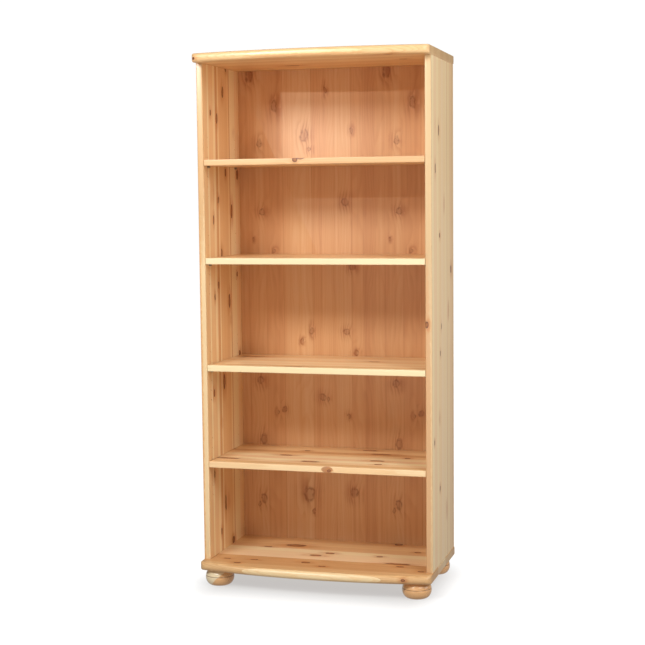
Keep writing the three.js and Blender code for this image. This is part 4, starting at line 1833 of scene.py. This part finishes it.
@dataclass
class Fittings:
    """The hidden screws and dowels that join the boards, and the caps over the top screws.

    Attributes:
        socket: Half the width across flats of a screw's socket in millimetres.
        socket_depth: The depth of that socket in millimetres.
        flutes: The flutes round a dowel.
    """

    socket: float = 2.0
    socket_depth: float = 2.2
    flutes: int = 16

    def build(self) -> None:
        """Makes every fitting."""
        steel = MetalFinish("screw_zinc", (0.83, 0.80, 0.70)).material()
        beech = DowelFinish().material()
        plastic = PlasticFinish().material()
        for board in ("top", "base"):
            for end in ENDS:
                for side in SIDES:
                    self._screw(f"{board}_screw_{end}_{side}", board == "top", steel)
                    self._dowel(f"{board}_dowel_{end}_{side}", beech)
        for end in ENDS:
            for side in SIDES:
                self._cap(f"cover_cap_{end}_{side}", plastic)

    def _screw(self, node: str, head_up: bool, steel: bpy.types.Material) -> None:
        """Makes one connecting screw: a threaded shank and a flat head with a six-sided socket.

        The socket's wall is as far out as its half width over the cosine of the angle from the
        nearest flat.

        Args:
            node: The frame's node.
            head_up: Whether its head is at the upper end.
            steel: Its material.
        """
        (x, y, level), length, head = upright(node)
        shank, neck, sides = 3.5, 3.5, 48
        angle = np.linspace(0, 2 * math.pi, sides, endpoint=False)
        flat = (angle + math.pi / 6) % (math.pi / 3) - math.pi / 6
        top = [
            (0.0, -self.socket_depth), (1.0, -self.socket_depth), (1.0, -0.05),
            (head - 0.5, 0.0), (head, -0.5), (head, -neck + 1.0), (shank, -neck),
        ]
        depth = np.linspace(neck + 2, length - 4, 160)
        rows = top + [(shank, -value) for value in depth] + [(1.0, -length), (0.0, -length)]
        swell = np.ones((len(rows), sides))
        swell[1:3] = self.socket / np.cos(flat)
        swell[len(top):-2] = thread(depth, 3.0, sides, 0.22, 1.5)
        profile = np.array(rows) * MM
        if head_up:
            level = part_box(node)[1].z
        else:
            profile[:, 1] *= -1
        piece = turned(f"{node}_threaded", profile, sides, (x, y, level), swell=swell)
        settle(piece, CARCASS, "zinc_steel", steel, node)

    def _dowel(self, node: str, beech: bpy.types.Material) -> None:
        """Makes one dowel: a rod with shallow flutes, a wave round its radius, and eased ends.

        Args:
            node: The frame's node.
            beech: Its material.
        """
        foot, length, radius = upright(node)
        corners = [
            (0, 0), (radius - 1, 0), (radius, 1.2),
            (radius, length - 1.2), (radius - 1, length), (0, length),
        ]
        angle = np.linspace(0, 2 * math.pi, 96, endpoint=False)
        swell = 1.0 - 0.025 * (1 + np.cos(self.flutes * angle))
        profile = rounded_profile(corners, 0.5)
        piece = turned(f"{node}_fluted", profile, 96, foot, swell=swell)
        settle(piece, CARCASS, "beech", beech, node)

    def _cap(self, node: str, plastic: bpy.types.Material) -> None:
        """Makes one cover cap: a slightly domed disc with an eased rim.

        Args:
            node: The frame's node.
            plastic: Its material.
        """
        foot, thick, radius = upright(node)
        rim = radius - 0.5
        angle = np.linspace(0, math.pi / 2, 9)
        dome = [(rim + 0.5 * math.cos(a), thick - 0.9 + 0.5 * math.sin(a)) for a in angle]
        crown = [(part * rim, thick - 0.4 * part**2) for part in np.linspace(0.9, 0.1, 7)]
        rows = [(0.0, 0.0), (radius - 0.3, 0.0), (radius, 0.4), *dome, *crown, (0.0, thick)]
        piece = turned(f"{node}_moulded", np.array(rows) * MM, 64, foot)
        settle(piece, CARCASS, "cap_plastic", plastic, node)


@dataclass
class Studio:
    """The camera, the lights, the white surroundings and the floor.

    Attributes:
        eye: Where the camera is.
        yaw: How far it is turned to the left of straight ahead, in degrees.
        pitch: How far it looks down, in degrees, as a negative angle.
        roll: How far it is tilted, in degrees.
        lens: Its focal length in millimetres on a 36 mm sensor.
        ambient: The light of the white surroundings.
        bounce: The light that the pale floor throws back up.
        backdrop: The white behind the bookcase.
    """

    eye: Triple = (1.27663, -4.47638, 1.27169)
    yaw: float = 16.04
    pitch: float = -5.0
    roll: float = -0.59
    lens: float = 78.96
    ambient: float = 0.15
    bounce: float = 0.38
    backdrop: float = 1.02

    WHITE: Colour = (1.0, 1.0, 1.0)
    COOL: Colour = (0.96, 1.0, 0.99)
    WARM: Colour = (1.0, 0.93, 0.86)
    SOFT: Colour = (1.0, 0.93, 0.87)

    def build(self) -> None:
        """Makes the whole studio."""
        self._camera()
        self._surroundings()
        self._lamp("key_softbox", (-1.2, -2.7, 2.76), (0.0, 0.0, 0.9), (1.3, 0.7), 74.0, self.COOL)
        self._spot("narrow_lamp", (-1.56, -2.84, 2.225), (0.26, 0.2, 1.76), 0.02, 80.0, 27.0, self.COOL)
        self._lamp("side_high", (2.7, -1.9, 3.2), (0.2, 0.0, 0.9), (1.6, 1.6), 54.0)
        self._lamp("side_low", (2.0, -1.8, 1.85), (0.1, 0.0, 1.4), (1.1, 1.1), 17.0, self.WARM)
        self._lamp("front_low", (0.0, -3.6, 0.5), (0.0, 0.0, 0.7), (1.4, 0.8), 10.5, self.WARM)
        self._lamp("right_wash", (3.2, 0.3, 1.3), (0.4, 0.0, 0.9), (1.2, 1.2), 14.0)
        self._lamp("floor_bounce", (0.1, -1.15, 0.02), (0.1, -1.15, 2.0), (2.2, 1.3), 6.0, self.WARM)
        self._floor()
        bpy.context.scene.view_settings.view_transform = "Standard"

    def _camera(self) -> None:
        """Makes the camera from its yaw, pitch and roll."""
        yaw, pitch, roll = (math.radians(angle) for angle in (self.yaw, self.pitch, self.roll))
        level = math.cos(pitch)
        ahead = Vector((-math.sin(yaw) * level, math.cos(yaw) * level, math.sin(pitch)))
        side = ahead.cross(Vector((0, 0, 1))).normalized()
        top = side.cross(ahead)
        right = side * math.cos(roll) + top * math.sin(roll)
        up = top * math.cos(roll) - side * math.sin(roll)
        data = bpy.data.cameras.new("camera")
        data.lens = self.lens
        data.sensor_width = 36.0
        camera = bpy.data.objects.new("camera", data)
        turn = Matrix((right, up, -ahead)).transposed().to_4x4()
        camera.matrix_world = Matrix.Translation(Vector(self.eye)) @ turn
        bpy.context.scene.collection.objects.link(camera)
        bpy.context.scene.camera = camera

    def _surroundings(self) -> None:
        """Makes the white surroundings: full white behind the bookcase, dimmer as a light.

        The floor doesn't light the bookcase itself, so the surroundings below the horizon do it.
        """
        world = bpy.data.worlds.new("surroundings")
        graph = Graph(world)
        level = graph.split(graph.add("TexCoord", {}, {}, "Generated"))[2]
        values = {"From Min": -0.05, "From Max": 0.05, "To Min": self.bounce, "To Max": self.ambient}
        strength = graph.add("MapRange", {}, {"Value": level, **values})
        soft = graph.add("Background", {}, {"Color": (*self.SOFT, 1.0), "Strength": strength})
        plain = {"Color": (*self.WHITE, 1.0), "Strength": self.backdrop}
        white = graph.add("Background", {}, plain)
        seen = graph.add("LightPath", {}, {}, "Is Camera Ray")
        graph.end(graph.add("MixShader", {}, {0: seen, 1: soft, 2: white}), "World")
        bpy.context.scene.world = world

    def _lamp(
        self, name: str, at: Triple, towards: Triple, size: tuple[float, float], power: float,
        colour: Colour = WHITE,
    ) -> None:
        """Makes one soft lamp.

        Args:
            name: The lamp's name.
            at: Where it is.
            towards: The point that it faces.
            size: Its width and height.
            power: Its power in watts.
            colour: The colour of its light.
        """
        data = bpy.data.lights.new(name, "AREA")
        data.shape = "RECTANGLE"
        data.size, data.size_y = size
        self._hang(data, at, towards, power, colour)

    def _spot(
        self, name: str, at: Triple, towards: Triple, radius: float, power: float, cone: float,
        colour: Colour,
    ) -> None:
        """Makes one small hard lamp with a soft-edged beam.

        Args:
            name: The lamp's name.
            at: Where it is.
            towards: The point that it faces.
            radius: The radius of its bulb.
            power: Its power in watts.
            cone: How wide its beam is, in degrees.
            colour: The colour of its light.
        """
        data = bpy.data.lights.new(name, "SPOT")
        data.spot_size = math.radians(cone)
        data.spot_blend = 1.0
        data.shadow_soft_size = radius
        self._hang(data, at, towards, power, colour)

    def _hang(
        self, data: bpy.types.Light, at: Triple, towards: Triple, power: float, colour: Colour
    ) -> None:
        """Sets a lamp in the studio, unseen by the camera.

        Args:
            data: The lamp's own settings.
            at: Where it is.
            towards: The point that it faces.
            power: Its power in watts.
            colour: The colour of its light.
        """
        data.energy = power
        data.color = colour
        lamp = bpy.data.objects.new(data.name, data)
        lamp.rotation_euler = (Vector(towards) - Vector(at)).to_track_quat("-Z", "Y").to_euler()
        lamp.location = at
        lamp.visible_camera = False
        bpy.context.scene.collection.objects.link(lamp)

    def _floor(self) -> None:
        """Makes the floor: a flat grid under the bookcase."""
        side = np.linspace(-8.0, 8.0, 9)
        u, v = np.meshgrid(side, side, indexing="ij")
        surface = Surface()
        surface.grid(np.stack([u, v, np.zeros_like(u)], axis=-1), smooth=False)
        floor = surface.build("studio_floor")
        floor.data.materials.append(FloorFinish().material())
        floor.visible_diffuse = False
        floor.visible_glossy = False


def main() -> None:
    """Builds the studio and then the bookcase, one sub-assembly after another."""
    logging.basicConfig(level=logging.INFO, format="%(name)s: %(message)s")
    for part in (Studio(), SidePanels(), CapBoards(), Shelves(), BackPanel(), Feet(), Fittings()):
        part.build()
        log.info("%s done", type(part).__name__)


if __name__ == "__main__":
    main()
